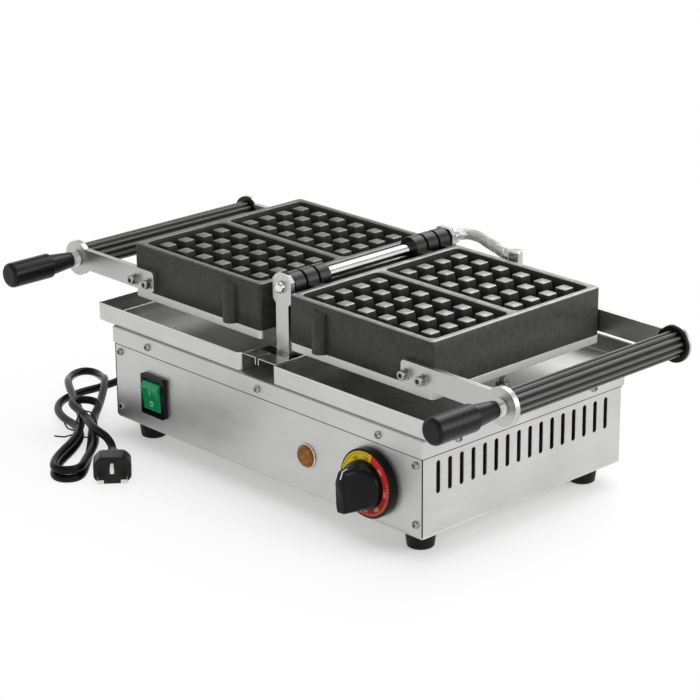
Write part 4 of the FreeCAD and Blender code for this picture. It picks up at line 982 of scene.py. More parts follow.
@dataclass
class Studio:
    """White table, soft light and the camera at the photograph's angle.

    Footprint is half the base's width and depth, and the y of its middle. Whiteness is the table's share of
    plain white by the distance from the base in metres. The room is white up to the first of its heights, as
    the z of a direction, and as grey as dim from the second on. Sight is how far the camera sees, in metres.
    """

    target: Triple = (-55.7, 61.0, 86.2)
    azimuth: float = 46.7
    elevation: float = 19.7
    roll: float = -0.4
    distance: float = 2469.7
    focal: float = 2515.2
    image: float = 700.0
    sensor: float = 36.0
    sight: float = 50.0
    floor_size: float = 9000.0
    white: str = "#ffffff"
    paper: str = "#fafafa"
    footprint: Triple = (215.0, 133.5, 24.5)
    whiteness: tuple[Pair, ...] = ((0.0, 0.35), (0.05, 0.7), (0.13, 0.9), (0.4, 1.0), (1.0, 1.0))
    soft_boxes: tuple[SoftBox, ...] = (
        SoftBox("overhead_soft_box", (50.0, 250.0, 1600.0), (0.0, 0.0, 150.0), 1900.0, 11.0),
        SoftBox("right_soft_box", (1700.0, 650.0, 900.0), (0.0, 0.0, 120.0), 1200.0, 18.0),
        SoftBox("rear_soft_box", (-250.0, 1050.0, 1150.0), (100.0, 0.0, 150.0), 900.0, 7.0))
    room: Pair = (0.35, 0.8)
    dim: float = 0.18
    fill: float = 0.55

    def build(self) -> None:
        """Set up the camera, the floor, the lamps and the world."""
        self.camera()
        self.floor()
        self.lamps()
        self.world()
        bpy.context.scene.view_settings.view_transform = "Standard"

    def camera(self) -> None:
        """Place the camera by its azimuth, elevation and roll about the target."""
        az, el, roll = (math.radians(a) for a in (self.azimuth, self.elevation, self.roll))
        ahead = Vector((-math.sin(az) * math.cos(el), math.cos(az) * math.cos(el), -math.sin(el)))
        level = Vector((math.cos(az), math.sin(az), 0.0))
        upright = level.cross(ahead)
        right = level * math.cos(roll) + upright * math.sin(roll)
        up = upright * math.cos(roll) - level * math.sin(roll)
        data = bpy.data.cameras.new("photo_camera")
        data.sensor_width = self.sensor
        data.lens = self.focal * self.sensor / self.image
        data.clip_end = self.sight
        camera = bpy.data.objects.new("photo_camera", data)
        turn = Matrix((right, up, -ahead)).transposed().to_4x4()
        camera.matrix_world = Matrix.Translation(mm(*self.target) - ahead * mm(self.distance)) @ turn
        bpy.context.scene.collection.objects.link(camera)
        bpy.context.scene.camera = camera

    def direct(self, tree: bpy.types.NodeTree) -> Node:
        """Tell rays that show in the picture, straight, mirrored or through glass, from those that light it.

        Args:
            tree: node tree of the table or the world.

        Returns:
            The node that gives 1 for such a ray and 0 for others.
        """
        ray = add(tree, "ShaderNodeLightPath")
        seen = add(tree, "ShaderNodeMath", {
            0: ray.outputs["Is Camera Ray"], 1: ray.outputs["Is Glossy Ray"]}, operation="MAXIMUM")
        return add(tree, "ShaderNodeMath", {
            0: seen, 1: ray.outputs["Is Transmission Ray"]}, operation="MAXIMUM")

    def floor(self) -> None:
        """Lay a white table that keeps the object's soft shadow."""
        half = mm(self.floor_size) / 2
        mesh = bpy.data.meshes.new("white_table")
        corners = [(-half, -half, 0.0), (half, -half, 0.0), (half, half, 0.0), (-half, half, 0.0)]
        mesh.from_pydata(corners, [], [(0, 1, 2, 3)])
        table = bpy.data.objects.new("white_table", mesh)
        bpy.context.scene.collection.objects.link(table)
        material = bpy.data.materials.new("white_sweep")
        material.use_nodes = True
        tree = material.node_tree
        tree.nodes.clear()
        paper = add(tree, "ShaderNodeBsdfDiffuse", {"Color": srgb(self.paper)})
        glow = add(tree, "ShaderNodeEmission", {"Color": srgb(self.white), "Strength": 1.0})
        share = add(tree, "ShaderNodeMath", {
            0: self.direct(tree), 1: self.clear_of_base(tree)}, operation="MULTIPLY")
        mixed = add(tree, "ShaderNodeMixShader", {0: share, 1: paper, 2: glow})
        add(tree, "ShaderNodeOutputMaterial", {"Surface": mixed})
        mesh.materials.append(material)

    def clear_of_base(self, tree: bpy.types.NodeTree) -> Node:
        """Let the table's share of plain white grow with the distance from the base, to keep its shadow.

        Args:
            tree: the table's node tree.

        Returns:
            The node that gives the share, from 0 to 1.
        """
        half_x, half_y, middle_y = (mm(v) for v in self.footprint)
        places = add(tree, "ShaderNodeTexCoord")
        parts = add(tree, "ShaderNodeSeparateXYZ", {"Vector": places.outputs["Object"]})
        off_y = add(tree, "ShaderNodeMath", {0: parts.outputs["Y"], 1: middle_y}, operation="SUBTRACT")
        gaps = []
        for value, half in ((parts.outputs["X"], half_x), (off_y, half_y)):
            size = add(tree, "ShaderNodeMath", {0: value}, operation="ABSOLUTE")
            gaps.append(add(tree, "ShaderNodeMath", {0: size, 1: half}, operation="SUBTRACT"))
        gap = add(tree, "ShaderNodeMath", {0: gaps[0], 1: gaps[1]}, operation="MAXIMUM", use_clamp=True)
        ramp = add(tree, "ShaderNodeFloatCurve", {"Value": gap})
        line = ramp.mapping.curves[0].points
        line[0].location, line[1].location = self.whiteness[0], self.whiteness[-1]
        for distance, share in self.whiteness[1:-1]:
            line.new(distance, share)
        ramp.mapping.update()
        return ramp

    def lamps(self) -> None:
        """Hang the soft boxes: one overhead, one to the right and one behind."""
        for box in self.soft_boxes:
            data = bpy.data.lights.new(box.name, "AREA")
            data.shape = "SQUARE"
            data.size = mm(box.size)
            data.energy = box.power
            lamp = bpy.data.objects.new(box.name, data)
            turn = (mm(*box.aim) - mm(*box.spot)).to_track_quat("-Z", "Y").to_matrix().to_4x4()
            lamp.matrix_world = Matrix.Translation(mm(*box.spot)) @ turn
            bpy.context.scene.collection.objects.link(lamp)

    def world(self) -> None:
        """Surround the table with a white wall that turns grey overhead, as a studio's ceiling is."""
        world = bpy.data.worlds.new("white_room")
        bpy.context.scene.world = world
        world.use_nodes = True
        tree = world.node_tree
        tree.nodes.clear()
        low, high = self.room
        places = add(tree, "ShaderNodeTexCoord")
        parts = add(tree, "ShaderNodeSeparateXYZ", {"Vector": places.outputs["Generated"]})
        wall = add(tree, "ShaderNodeMapRange", {
            "Value": parts.outputs["Z"], "From Min": low, "From Max": high,
            "To Min": 1.0, "To Max": self.dim})
        ray = add(tree, "ShaderNodeLightPath")
        clear = add(tree, "ShaderNodeMath", {0: wall, 1: ray.outputs["Is Camera Ray"]}, operation="MAXIMUM")
        lit = add(tree, "ShaderNodeBackground", {"Color": srgb(self.white), "Strength": self.fill})
        seen = add(tree, "ShaderNodeBackground", {"Color": srgb(self.white), "Strength": clear})
        mixed = add(tree, "ShaderNodeMixShader", {0: self.direct(tree), 1: lit, 2: seen})
        add(tree, "ShaderNodeOutputWorld", {"Surface": mixed})


@dataclass
class Lead:
    """Mains lead: a free stretch from the strain relief and a hank held by a twist tie, ending in its plug.

    The length is in metres. Places on the hank are along its axis from its middle, across it and above the
    floor.
    """

    diameter: float = 8.0
    length: float = 1.414
    middle: Pair = (-224.8, -137.3)
    axis: Pair = (0.78, -0.6258)
    front: float = -109.0
    exit: Triple = (-249.0, 61.0, 34.0)
    straight: float = 22.0
    low: float = 4.5
    tied: float = 7.0
    layer: float = 8.7
    steps: int = 8
    round_steps: int = 6
    tie_radius: float = 0.8
    tie_at: float = 2.0
    tie_ring: tuple[Pair, ...] = (
        (-9.7, 4.0), (-10.2, 12.0), (-9.6, 20.5), (-6.0, 27.5), (-1.0, 30.0), (4.0, 28.5), (8.5, 22.0),
        (10.2, 14.0), (9.8, 5.0), (6.0, 2.0), (-6.0, 2.0))
    tie_ends: tuple[tuple[Triple, ...], ...] = (
        ((2, -9.8, 8.0), (5, -14.0, 6.5), (8, -22.0, 5.5), (7, -32.0, 6.5)),
        ((2, -9.9, 10.0), (1, -14.0, 9.5), (-1, -19.0, 11.0), (-6, -22.0, 14.5)))

    def at(self, u: float, v: float, z: float) -> Vector:
        """Point given along the hank, across it and above the floor, in millimetres."""
        a, b = self.axis
        return mm(self.middle[0] + u * a - v * b, self.middle[1] + u * b + v * a, z)

    def free_points(self) -> list[Vector]:
        """Lay out the free stretch, from the strain relief to the hank.

        Returns:
            Its points in metres.
        """
        floor = [(-294.5, 161.0, 31.0), (-310.5, 142.0, 23.5), (-316.5, 116.5, 13.5), (-317.5, 89.5, 6.6),
                 (-319.5, 63.0, 4.7), (-323.5, 37.5, 4.5), (-318.5, 11.5, 4.5), (-301.0, -8.0, 4.5),
                 (-276.0, -19.0, 4.8)]
        start = mm(*self.exit)
        return [start, start - mm(self.straight, 0.0, 0.0)] + [mm(x, self.front + y, z) for x, y, z in floor]

    def hank_points(self) -> list[Vector]:
        """Lay out the bundled length: two low loops, a tall and a short return, and the tail to the plug.

        Returns:
            Its points in metres.
        """
        low, tied, layer = self.low, self.tied, self.layer
        top = tied + 2 * layer
        out = [(40, -11, tied - 0.6), (72, -25, low + 0.4), (90, -29.5, low), (105, -29.5, low),
               (113, -21.8, low), (113, -10.2, low), (105, -2.8, low)]
        back = [(86, 0, low), (60, 2.5, low + 0.4), (30, 4.5, tied - 0.6), (0, 4.6, tied)]
        tall = [(-35, 6.5, tied + 1), (-75, 13, tied + 3.8), (-113, 16.5, tied + 6.8), (-136, 16.5, tied + 6),
                (-158, 13.5, low + 0.9), (-174, 8, low), (-182, -0.5, low), (-182, -9, low),
                (-174, -17, low), (-158, -21.5, low + 0.9), (-131, -21.5, tied + 5.6),
                (-108, -19.5, tied + 7.2), (-75, -14, tied + 7.4), (-35, -7, tied + 8.4),
                (0, -4.6, tied + layer)]
        over = [(u, v, z + layer) for u, v, z in out]
        across = [(87, 0.5, low + layer), (66, 6, low + layer + 0.5), (44, 9.5, tied + layer - 1),
                  (22, 8, tied + layer - 0.4), (0, 4.8, tied + layer)]
        short = [(-18, 7, top - 6.6), (-31, 11, top - 4.6), (-40, 11.5, top - 3.2), (-47, 4, top - 1.8),
                 (-47, -8, top - 0.8), (-40, -15, top - 0.2), (-30, -14, top), (-16, -8, top),
                 (0, -1, top)]
        tail = [(20, 3, top), (37, 9, top - 0.2), (50, 18, top - 1.6), (58, 23.5, 19.0), (66, 26, 14.8),
                (74, 26, 14.0)]
        route = [(-22, -12, tied - 0.6), (8, -4.8, tied)] + out + back + tall + over + across + short + tail
        return [self.at(*p) for p in route]

    def tie(self) -> Mesh:
        """Wind the twist tie round the hank.

        Returns:
            The mesh of its loop and its two ends.
        """
        loop = [self.at(self.tie_at, v, z) for v, z in self.tie_ring]
        ends = [[self.at(*p) for p in end] for end in self.tie_ends]
        return swept("twist_tie", [loop + loop[:1]] + ends, self.tie_radius, Palette.TIE)

    def build(self, frame: Frame) -> None:
        """Args:
            frame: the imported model.
        """
        route = self.free_points() + self.hank_points()
        curve = drawn("mains_lead", [route], Spline.SMOOTH, self.steps)
        curve.bevel_depth = mm(self.diameter) / 2
        curve.bevel_resolution = self.round_steps
        curve.use_fill_caps = True
        tie = place("twist_tie", self.tie(), "base", [Palette.TIE], ["cord_tie"])
        plug = frame.ease("mains_plug", Palette.PVC, 2.4, 25.0)
        pins = frame.ease("plug_pins", Palette.PIN, 0.5)
        lead = place("mains_lead", curve, "base", [Palette.CORD], ["mains_cord", "cord_hank"])
        frame.ease("cord_gland", Palette.PVC)


@dataclass
class Fasteners:
    """Screws that show: pan heads with a cross recess on the cabinet, socket heads on the handle arms.

    The pan's dome is given as shares of its radius and rise, the cap's rim as inset and drop from its top,
    and the washer by how far it stands out, its thickness and its broken edge.
    """

    shank: float = 4.0
    shank_length: float = 8.0
    pan_head: float = 7.4
    pan_rise: float = 2.8
    pan_dome: tuple[Pair, ...] = ((1.0, 0.25), (0.95, 0.5), (0.84, 0.75), (0.77, 0.92), (0.68, 1.0))
    cross: Pair = (2.3, 0.7)
    cross_depth: float = 1.9
    cross_taper: float = 0.7
    cap_head: float = 9.0
    cap_rise: float = 7.0
    cap_rim: tuple[Pair, ...] = ((0.0, 0.7), (0.25, 0.2), (0.8, 0.0))
    washer: Triple = (1.2, 1.0, 0.3)
    socket: float = 4.6
    socket_depth: float = 3.5
    steps: int = 24
    smooth: float = 40.0
    seed: int = 7
    panel_x: float = 205.0
    panel_y: float = -107.0
    panel_z: Pair = (32.5, 88.5)
    skirt_x: Triple = (-160.0, 0.0, 160.0)
    skirt_y: Pair = (-64.5, 113.5)
    skirt_z: float = 105.0
    skirt_side: float = 215.0
    skirt_ends: Pair = (-109.0, 158.0)
    post_y: tuple[float, ...] = (-65.0, -53.0, 115.0, 127.0)
    post_z: float = 119.0
    arm_x: Pair = (176.5, 197.5)
    arm_y: Pair = (-91.5, 137.5)
    arm_z: float = 161.5

    def headed(self, name: str, profile: Sequence[Pair], mouth: Sequence[Vector],
               foot: Sequence[Vector]) -> Mesh:
        """Turn a screw about the z axis and sink its drive into the head.

        Args:
            name: the mesh's name.
            profile: radius and height of each ring, from under the head to the rim of its top.
            mouth: the drive's outline on the head's top.
            foot: the drive's outline at its bottom.

        Returns:
            The screw's mesh, its head's seat at z = 0.
        """
        work = bmesh.new()
        half = self.shank / 2
        whole = [(half, -self.shank_length), (half, 0.0), *profile]
        rings = skin(work, [ring(r, z, self.steps) for r, z in whole], first=True)
        drive = skin(work, [mouth, foot], last=True)
        between(work, [rings[-1], drive[0]])
        return new_mesh(name, work, self.smooth)

    def pan_screw(self) -> Mesh:
        """Turn a pan head with a cross recess.

        Returns:
            The screw's mesh.
        """
        r, h = self.pan_head / 2, self.pan_rise
        long, thin = self.cross
        outline = []
        for quarter in range(4):
            turn = Matrix.Rotation(math.pi / 2 * quarter, 2)
            outline += [turn @ Vector(p) for p in ((long, -thin), (long, thin), (thin, thin))]
        mouth = [mm(p.x, p.y, h) for p in outline]
        foot = [mm(p.x * self.cross_taper, p.y * self.cross_taper, h - self.cross_depth) for p in outline]
        dome = [(r * across, h * up) for across, up in self.pan_dome]
        return self.headed("pan_screw", [(r, 0.0), *dome], mouth, foot)

    def cap_screw(self) -> Mesh:
        """Turn a tall round head with a hexagon socket, on a plain washer.

        Returns:
            The screw's mesh.
        """
        r, h = self.cap_head / 2, self.cap_rise
        out, thick, edge = self.washer
        corner = self.socket / 2 / math.cos(math.pi / 6)
        mouth, foot = (ring(corner, z, 6) for z in (h, h - self.socket_depth))
        under = [(r + out, 0.0), (r + out, thick - edge), (r + out - edge, thick), (r, thick)]
        rim = [(r - inset, h - drop) for inset, drop in self.cap_rim]
        return self.headed("cap_screw", under + rim, mouth, foot)

    def scatter(self, name: str, screw: Mesh, seats: Sequence[tuple[Triple, Triple]]) -> Mesh:
        """Set a screw on each seat, its drive at a chance angle.

        Args:
            name: name of the pattern.
            screw: the screw's mesh.
            seats: point under each head in millimetres, and the way that the head points.

        Returns:
            All screws as one plain mesh.
        """
        spots = bpy.data.meshes.new(name + "_seats")
        spots.from_pydata([mm(*p) for p, _ in seats], [], [])
        ways = spots.attributes.new("way", "FLOAT_VECTOR", "POINT")
        for entry, (_, way) in zip(ways.data, seats):
            entry.vector = way
        model = bpy.data.objects.new(name + "_model", screw)
        rule = Pattern(name)
        held = rule.node("GeometryNodeObjectInfo", {"Object": rule.given("Screw", "Object", model)})
        way = rule.node("GeometryNodeInputNamedAttribute", {"Name": "way"}, data_type="FLOAT_VECTOR")
        aimed = rule.node("FunctionNodeAlignRotationToVector", {"Vector": way}, axis="Z")
        chance = rule.node("FunctionNodeRandomValue", {
            "Max": FULL_TURN, "Seed": rule.given("Seed", "Int", self.seed)}, data_type="FLOAT")
        spin = rule.node("FunctionNodeAxisAngleToRotation", {"Axis": (0, 0, 1), "Angle": chance})
        turned = rule.node("FunctionNodeRotateRotation", {
            "Rotation": aimed, "Rotate By": spin}, rotation_space="LOCAL")
        laid = rule.node("GeometryNodeInstanceOnPoints", {
            "Points": rule.carried, "Instance": held.outputs["Geometry"], "Rotation": turned,
            "Scale": rule.given("Size", "Float", 1.0)})
        mesh = rule.run(laid, Palette.ZINC, spots)
        bpy.data.objects.remove(model)
        return mesh

    def cabinet_seats(self) -> list[tuple[Triple, Triple]]:
        """List the seats of the panel's, the cover's and the hinge posts' screws.

        Returns:
            Point under each head in millimetres, and the way that the head points.
        """
        seats = []
        for x in (-self.panel_x, self.panel_x):
            seats += [((x, self.panel_y, z), (0, -1, 0)) for z in self.panel_z]
        for x in self.skirt_x:
            seats += [((x, y, self.skirt_z), (0, way, 0)) for y, way in zip(self.skirt_ends, (-1, 1))]
        for y in self.skirt_y:
            seats += [((way * self.skirt_side, y, self.skirt_z), (way, 0, 0)) for way in (-1, 1)]
        return seats + [((0.0, y, self.post_z), (0, 0, 1)) for y in self.post_y]

    def build(self, frame: Frame) -> None:
        """Drive all screws that show, one mesh for each body.

        Args:
            frame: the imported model.
        """
        mesh = self.scatter("cabinet_screws", self.pan_screw(), self.cabinet_seats())
        place("cabinet_screws", mesh, "base", [Palette.ZINC],
              ["panel_screws", "cover_screws", "post_screws"])
        for side in Side:
            seats = [((side.value * x, y, self.arm_z), (0, way, 0))
                     for x in self.arm_x for y, way in zip(self.arm_y, (-1, 1))]
            name = side.prefix + "arm_cap_screws"
            mesh = self.scatter(name, self.cap_screw(), seats)
            place(name, mesh, side.plate, [Palette.ZINC], [side.prefix + "arm_screws"])
            frame.paint(side.prefix + "bottom_screws", Palette.ZINC)


@dataclass
class Cabinet:
    """Sheet-metal base: shell with its vents, front panel, lipped cover, floor and feet.

    The strip fills the gap under the cover's lip, from within the wall to just outside it. The seams run down
    the front corners, their y counted from the front. Both are black strips: painted shadow in the gaps.
    """

    fold: float = 0.7
    x: Pair = (-213.0, 213.0)
    y: Pair = (-107.0, 156.0)
    gap: Pair = (95.2, 97.1)
    strip: Pair = (-0.3, 0.2)
    corner: float = 0.6
    seam_x: Pair = (212.1, 213.12)
    seam_y: Pair = (-0.15, 0.6)
    foot: float = 22.0

    def sheet_gaps(self) -> Mesh:
        """Draw black strips, a painted shadow, where the sheets stand a little apart.

        Returns:
            The mesh of the strip and the seams.
        """
        work = bmesh.new()
        low, high = self.gap
        inside, outside = self.strip
        section = ((inside, low), (outside, low), (outside, high), (inside, high), (inside, low))
        skin(work, [rounded(self.x, self.y, -d, z, self.corner + d) for d, z in section])
        (inner, outer), (near, far) = self.seam_x, self.seam_y
        for side in Side:
            edge = [(side.value * x, self.y[0] + y)
                    for x, y in ((inner, near), (outer, near), (outer, far), (inner, far))]
            skin(work, [[mm(x, y, z) for x, y in edge] for z in (self.foot, low)], first=True, last=True)
        bmesh.ops.remove_doubles(work, verts=work.verts, dist=SAME_SPOT)
        return new_mesh("sheet_gaps", work)

    def build(self, frame: Frame) -> None:
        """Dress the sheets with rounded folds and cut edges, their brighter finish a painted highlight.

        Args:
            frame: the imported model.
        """
        for node in ("body_shell", "front_panel", "top_cover"):
            frame.ease(node, Palette.SHEET, self.fold, edge=Palette.EDGE)
        # Black strips in the gaps between the sheets: painted shadow.
        place("sheet_gaps", self.sheet_gaps(), "base", [Palette.FOOT])
        frame.ease("bottom_plate", Palette.SHEET)
        frame.ease("rubber_feet", Palette.FOOT, 1.0)
        for node in ("thermostat_body", "terminal_block"):
            frame.paint(node, Palette.INNER)


@dataclass
class Hinge:
    """Two bent posts with the bright shaft, and the conduit that carries the wires to the right-hand plate.

    The route is the conduit's middle line. A wire goes once round it in a turn.
    """

    route: tuple[Triple, ...] = (
        (0.0, 150.0, 196.5), (0.0, 172.0, 196.5), (48.1, 158.1, 193.0), (73.2, 148.0, 193.0))
    radius: float = 5.0
    wire: float = 0.4
    wires: int = 16
    turn: float = 34.0
    weave: float = 0.14
    step: float = 0.4
    wire_steps: int = 4
    liner: float = 5.22
    liner_steps: int = 24
    line_steps: int = 24

    def braid(self) -> Mesh:
        """Weave wires both ways round a liner, each over one and under the next.

        Returns:
            The conduit's mesh.
        """
        rule = Pattern("braided_conduit")
        radius = rule.given("Radius", "Float", mm(self.radius))
        wire = rule.given("Wire Radius", "Float", mm(self.wire))
        wires = rule.given("Wires", "Int", self.wires)
        turn = rule.given("Turn Length", "Float", mm(self.turn))
        weave = rule.given("Weave", "Float", mm(self.weave))
        fine = rule.node("GeometryNodeResampleCurve", {
            "Curve": rule.carried, "Length": rule.given("Step", "Float", mm(self.step))}, mode="LENGTH")
        along = rule.node("GeometryNodeSplineParameter").outputs["Length"]
        turns = rule.node("ShaderNodeMath", {0: along, 1: turn}, operation="DIVIDE")
        normal = rule.node("GeometryNodeInputNormal")
        tangent = rule.node("GeometryNodeInputTangent")
        across = rule.node("ShaderNodeVectorMath", {0: tangent, 1: normal}, operation="CROSS_PRODUCT")
        round_it = rule.node("ShaderNodeMath", {0: turns, 1: FULL_TURN}, operation="MULTIPLY")
        crossings = rule.node("ShaderNodeMath", {0: round_it, 1: wires}, operation="MULTIPLY")
        wave = rule.node("ShaderNodeMath", {0: crossings}, operation="COSINE")
        thread = rule.node("GeometryNodeCurvePrimitiveCircle", {
            "Resolution": self.wire_steps, "Radius": wire})
        strands = []
        for way in (1.0, -1.0):
            many = rule.node("GeometryNodeDuplicateElements", {
                "Geometry": fine, "Amount": wires}, domain="SPLINE")
            share = rule.node("ShaderNodeMath", {
                0: many.outputs["Duplicate Index"], 1: wires}, operation="DIVIDE")
            wound = rule.node("ShaderNodeMath", {0: turns, 1: way, 2: share}, operation="MULTIPLY_ADD")
            angle = rule.node("ShaderNodeMath", {0: wound, 1: FULL_TURN}, operation="MULTIPLY")
            swing = rule.node("ShaderNodeMath", {0: wave, 1: way}, operation="MULTIPLY")
            reach = rule.node("ShaderNodeMath", {0: swing, 1: weave, 2: radius}, operation="MULTIPLY_ADD")
            parts = []
            for axis, trend in ((normal, "COSINE"), (across, "SINE")):
                lean = rule.node("ShaderNodeMath", {0: angle}, operation=trend)
                size = rule.node("ShaderNodeMath", {0: lean, 1: reach}, operation="MULTIPLY")
                parts.append(rule.node("ShaderNodeVectorMath", {0: axis, "Scale": size}, operation="SCALE"))
            shift = rule.node("ShaderNodeVectorMath", {0: parts[0], 1: parts[1]}, operation="ADD")
            moved = rule.node("GeometryNodeSetPosition", {"Geometry": many, "Offset": shift})
            strands.append(rule.node("GeometryNodeCurveToMesh", {
                "Curve": moved, "Profile Curve": thread, "Fill Caps": True}))
        tube = rule.node("GeometryNodeCurvePrimitiveCircle", {
            "Resolution": self.liner_steps, "Radius": rule.given("Liner Radius", "Float", mm(self.liner))})
        strands.append(rule.node("GeometryNodeCurveToMesh", {
            "Curve": fine, "Profile Curve": tube, "Fill Caps": True}))
        whole = rule.node("GeometryNodeJoinGeometry", {"Geometry": strands})
        line = drawn("conduit_line", [[mm(*p) for p in self.route]], Spline.SMOOTH, self.line_steps)
        return rule.run(whole, Palette.BRAID, line)

    def build(self, frame: Frame) -> None:
        """Dress the posts, the shaft and the fittings, and braid the conduit.

        Args:
            frame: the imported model.
        """
        for node in ("front_hinge_post", "rear_hinge_post"):
            frame.ease(node, Palette.POST, 0.6, edge=Palette.EDGE)
        frame.ease("hinge_shaft", Palette.CHROME, 2.4)
        frame.ease("conduit_ferrule", Palette.FITTING)
        frame.ease("conduit_elbow", Palette.FITTING, 0.5)
        place("braided_conduit", self.braid(), "right_plate", [Palette.BRAID], ["conduit"])


@dataclass
class BakingPlate:
    """Cast half: a deep block with two cavities of pegs, its ground land, its knuckles and its cover below.

    An edge is given by insets and drops from the top, a cavity's foot by insets and rises from its floor, and
    a peg's tip by insets, drops and corner radii. Faces within land_depth of the top are ground.
    """

    side: Side
    x: Pair = (19.8, 203.8)
    y: Pair = (-86.0, 132.0)
    low: float = 150.5
    land: float = 196.0
    land_depth: float = 0.6
    floor: float = 181.0
    corner: float = 4.0
    edge: tuple[Pair, ...] = ((0.0, 1.3), (0.35, 0.5), (1.2, 0.0))
    low_edge: float = 0.8
    wall: float = 7.5
    outer_skin: float = 2.0
    divider: float = 9.0
    cavity_corner: float = 6.0
    cavity_foot: tuple[Pair, ...] = ((1.2, 2.6), (1.9, 0.8), (3.6, 0.0))
    columns: int = 6
    rows: int = 4
    pitch: Pair = (26.9, 22.6)
    peg: Pair = (16.6, 13.2)
    peg_rise: float = 14.0
    peg_sink: float = 0.3
    peg_corner: float = 2.6
    peg_tip: tuple[Triple, ...] = ((0.0, 1.2, 2.0), (0.35, 0.4, 1.8), (1.1, 0.0, 1.3))
    peg_steps: int = 3
    boss_x: float = 61.5
    boss_radius: float = 8.0
    boss_drop: float = 5.0
    boss_sink: float = 1.5
    boss_edge: tuple[Pair, ...] = ((0.0, 1.6), (0.5, 0.4), (1.6, 0.0))
    boss_steps: int = 12
    smooth: float = 50.0

    @property
    def top(self) -> Finish:
        """Finish of the ground land and peg tops; the left half's are darker, as painted shade."""
        return Palette.GROUND if self.side is Side.RIGHT else Palette.BURNT

    def spans(self) -> list[Pair]:
        """Find the least and greatest y of the front and the rear cavity.

        Returns:
            The two pairs, in millimetres.
        """
        middle = (self.y[0] + self.y[1]) / 2
        half = self.divider / 2
        return [(self.y[0] + self.wall, middle - half), (middle + half, self.y[1] - self.wall)]

    def block(self) -> Mesh:
        """Cast the half without its pegs: walls, ground land, and cavities with drafted walls.

        Returns:
            The casting's mesh, whose slots are those of CastSkin.
        """
        work = bmesh.new()
        walls = [(self.low_edge, self.low), (0.0, self.low + self.low_edge)]
        walls += [(inset, self.land - drop) for inset, drop in self.edge]
        outer = skin(work, [rounded(self.x, self.y, d, z, self.corner - d) for d, z in walls], first=True)
        loops = [outer[-1]]
        sides = [(-inset, self.land - drop) for inset, drop in reversed(self.edge)]
        sides += [(inset, self.floor + rise) for inset, rise in self.cavity_foot]
        across = (self.x[0] + self.wall, self.x[1] - self.wall)
        for span in self.spans():
            rings = [rounded(across, span, d, z, self.cavity_corner - d) for d, z in sides]
            loops.append(skin(work, rings, last=True)[0])
        between(work, loops)
        for face in work.faces:
            face.material_index = self.coat_of(face)
        self.boss(work)
        bmesh.ops.scale(work, vec=(self.side.value, 1, 1), verts=work.verts)
        return new_mesh(self.side.prefix + "casting", work, self.smooth)

    def coat_of(self, face: bmesh.types.BMFace) -> CastSkin:
        """Tell which slot a face of the casting wears.

        Args:
            face: the face, on the right-hand half.

        Returns:
            Its slot.
        """
        spots = [v.co * PER_METRE for v in face.verts]
        if all(p.z > self.land - self.land_depth for p in spots):
            return CastSkin.LAND
        (x0, x1), (y0, y1) = ((v[0] + self.outer_skin, v[1] - self.outer_skin) for v in (self.x, self.y))
        within = all(x0 < p.x < x1 and y0 < p.y < y1 for p in spots)
        return CastSkin.CAVITY if within else CastSkin.WALL

    def boss(self, work: Work) -> None:
        """Add a half-round rib on the front wall, sloped back to the wall at its top.

        Args:
            work: geometry that takes the rib.
        """
        r, y0, middle = self.boss_radius, self.y[0], self.boss_x
        top = self.land - self.boss_drop
        turns = [math.pi - math.pi * i / self.boss_steps for i in range(self.boss_steps + 1)]
        flat = [(middle + r * math.cos(a), y0 - r * math.sin(a)) for a in turns]
        flat += [(middle + r, y0 + self.boss_sink), (middle - r, y0 + self.boss_sink)]
        levels = [[mm(x, y, self.low) for x, y in flat]]
        for inset, drop in self.boss_edge:
            pull = 1.0 - inset / r
            level = []
            for x, y in flat:
                near = y0 + (y - y0) * pull if y < y0 else y
                level.append(mm(middle + (x - middle) * pull, near, top - max(0.0, y0 - near) - drop))
            levels.append(level)
        skin(work, levels, first=True, last=True)

    def peg_stamp(self) -> Mesh:
        """Make one tapered peg with round edges, its foot a little in the floor.

        Returns:
            The peg's mesh, its middle at x = y = 0 and the floor at z = 0.
        """
        work = bmesh.new()
        base, tip = self.peg[0] / 2, self.peg[1] / 2
        levels = [(base, -self.peg_sink, self.peg_corner)]
        levels += [(tip - inset, self.peg_rise - drop, radius) for inset, drop, radius in self.peg_tip]
        rings = []
        for half, z, radius in levels:
            rings.append(rounded((-half, half), (-half, half), 0.0, z, radius, self.peg_steps))
        skin(work, rings, first=True, last=True)
        return new_mesh("peg", work, self.smooth)

    def pegs(self) -> Mesh:
        """Lay out all pegs of both cavities on their grids.

        Returns:
            The pegs as one plain mesh.
        """
        rule = Pattern(self.side.prefix + "pegs")
        columns = rule.given("Columns", "Int", self.columns)
        rows = rule.given("Rows", "Int", self.rows)
        step_x = rule.given("Pitch X", "Float", mm(self.pitch[0]))
        step_y = rule.given("Pitch Y", "Float", mm(self.pitch[1]))
        sizes = []
        for count, step in ((columns, step_x), (rows, step_y)):
            gaps = rule.node("ShaderNodeMath", {0: count, 1: 1.0}, operation="SUBTRACT")
            sizes.append(rule.node("ShaderNodeMath", {0: step, 1: gaps}, operation="MULTIPLY"))
        grid = rule.node("GeometryNodeMeshGrid", {
            "Size X": sizes[0], "Size Y": sizes[1], "Vertices X": columns, "Vertices Y": rows})
        middle_x = self.side.value * (self.x[0] + self.x[1]) / 2
        grids = []
        for name, (near, far) in zip(("Front Middle", "Rear Middle"), self.spans()):
            spot = rule.given(name, "Vector", mm(middle_x, (near + far) / 2, self.floor))
            grids.append(rule.node("GeometryNodeTransform", {"Geometry": grid, "Translation": spot}))
        both = rule.node("GeometryNodeJoinGeometry", {"Geometry": grids})
        laid = rule.node("GeometryNodeInstanceOnPoints", {"Points": both, "Instance": rule.carried})
        # The pegs' sides wear the cavity iron, darker towards the floor as painted shade.
        return rule.run(laid, Palette.SOOT, self.peg_stamp(), self.top)

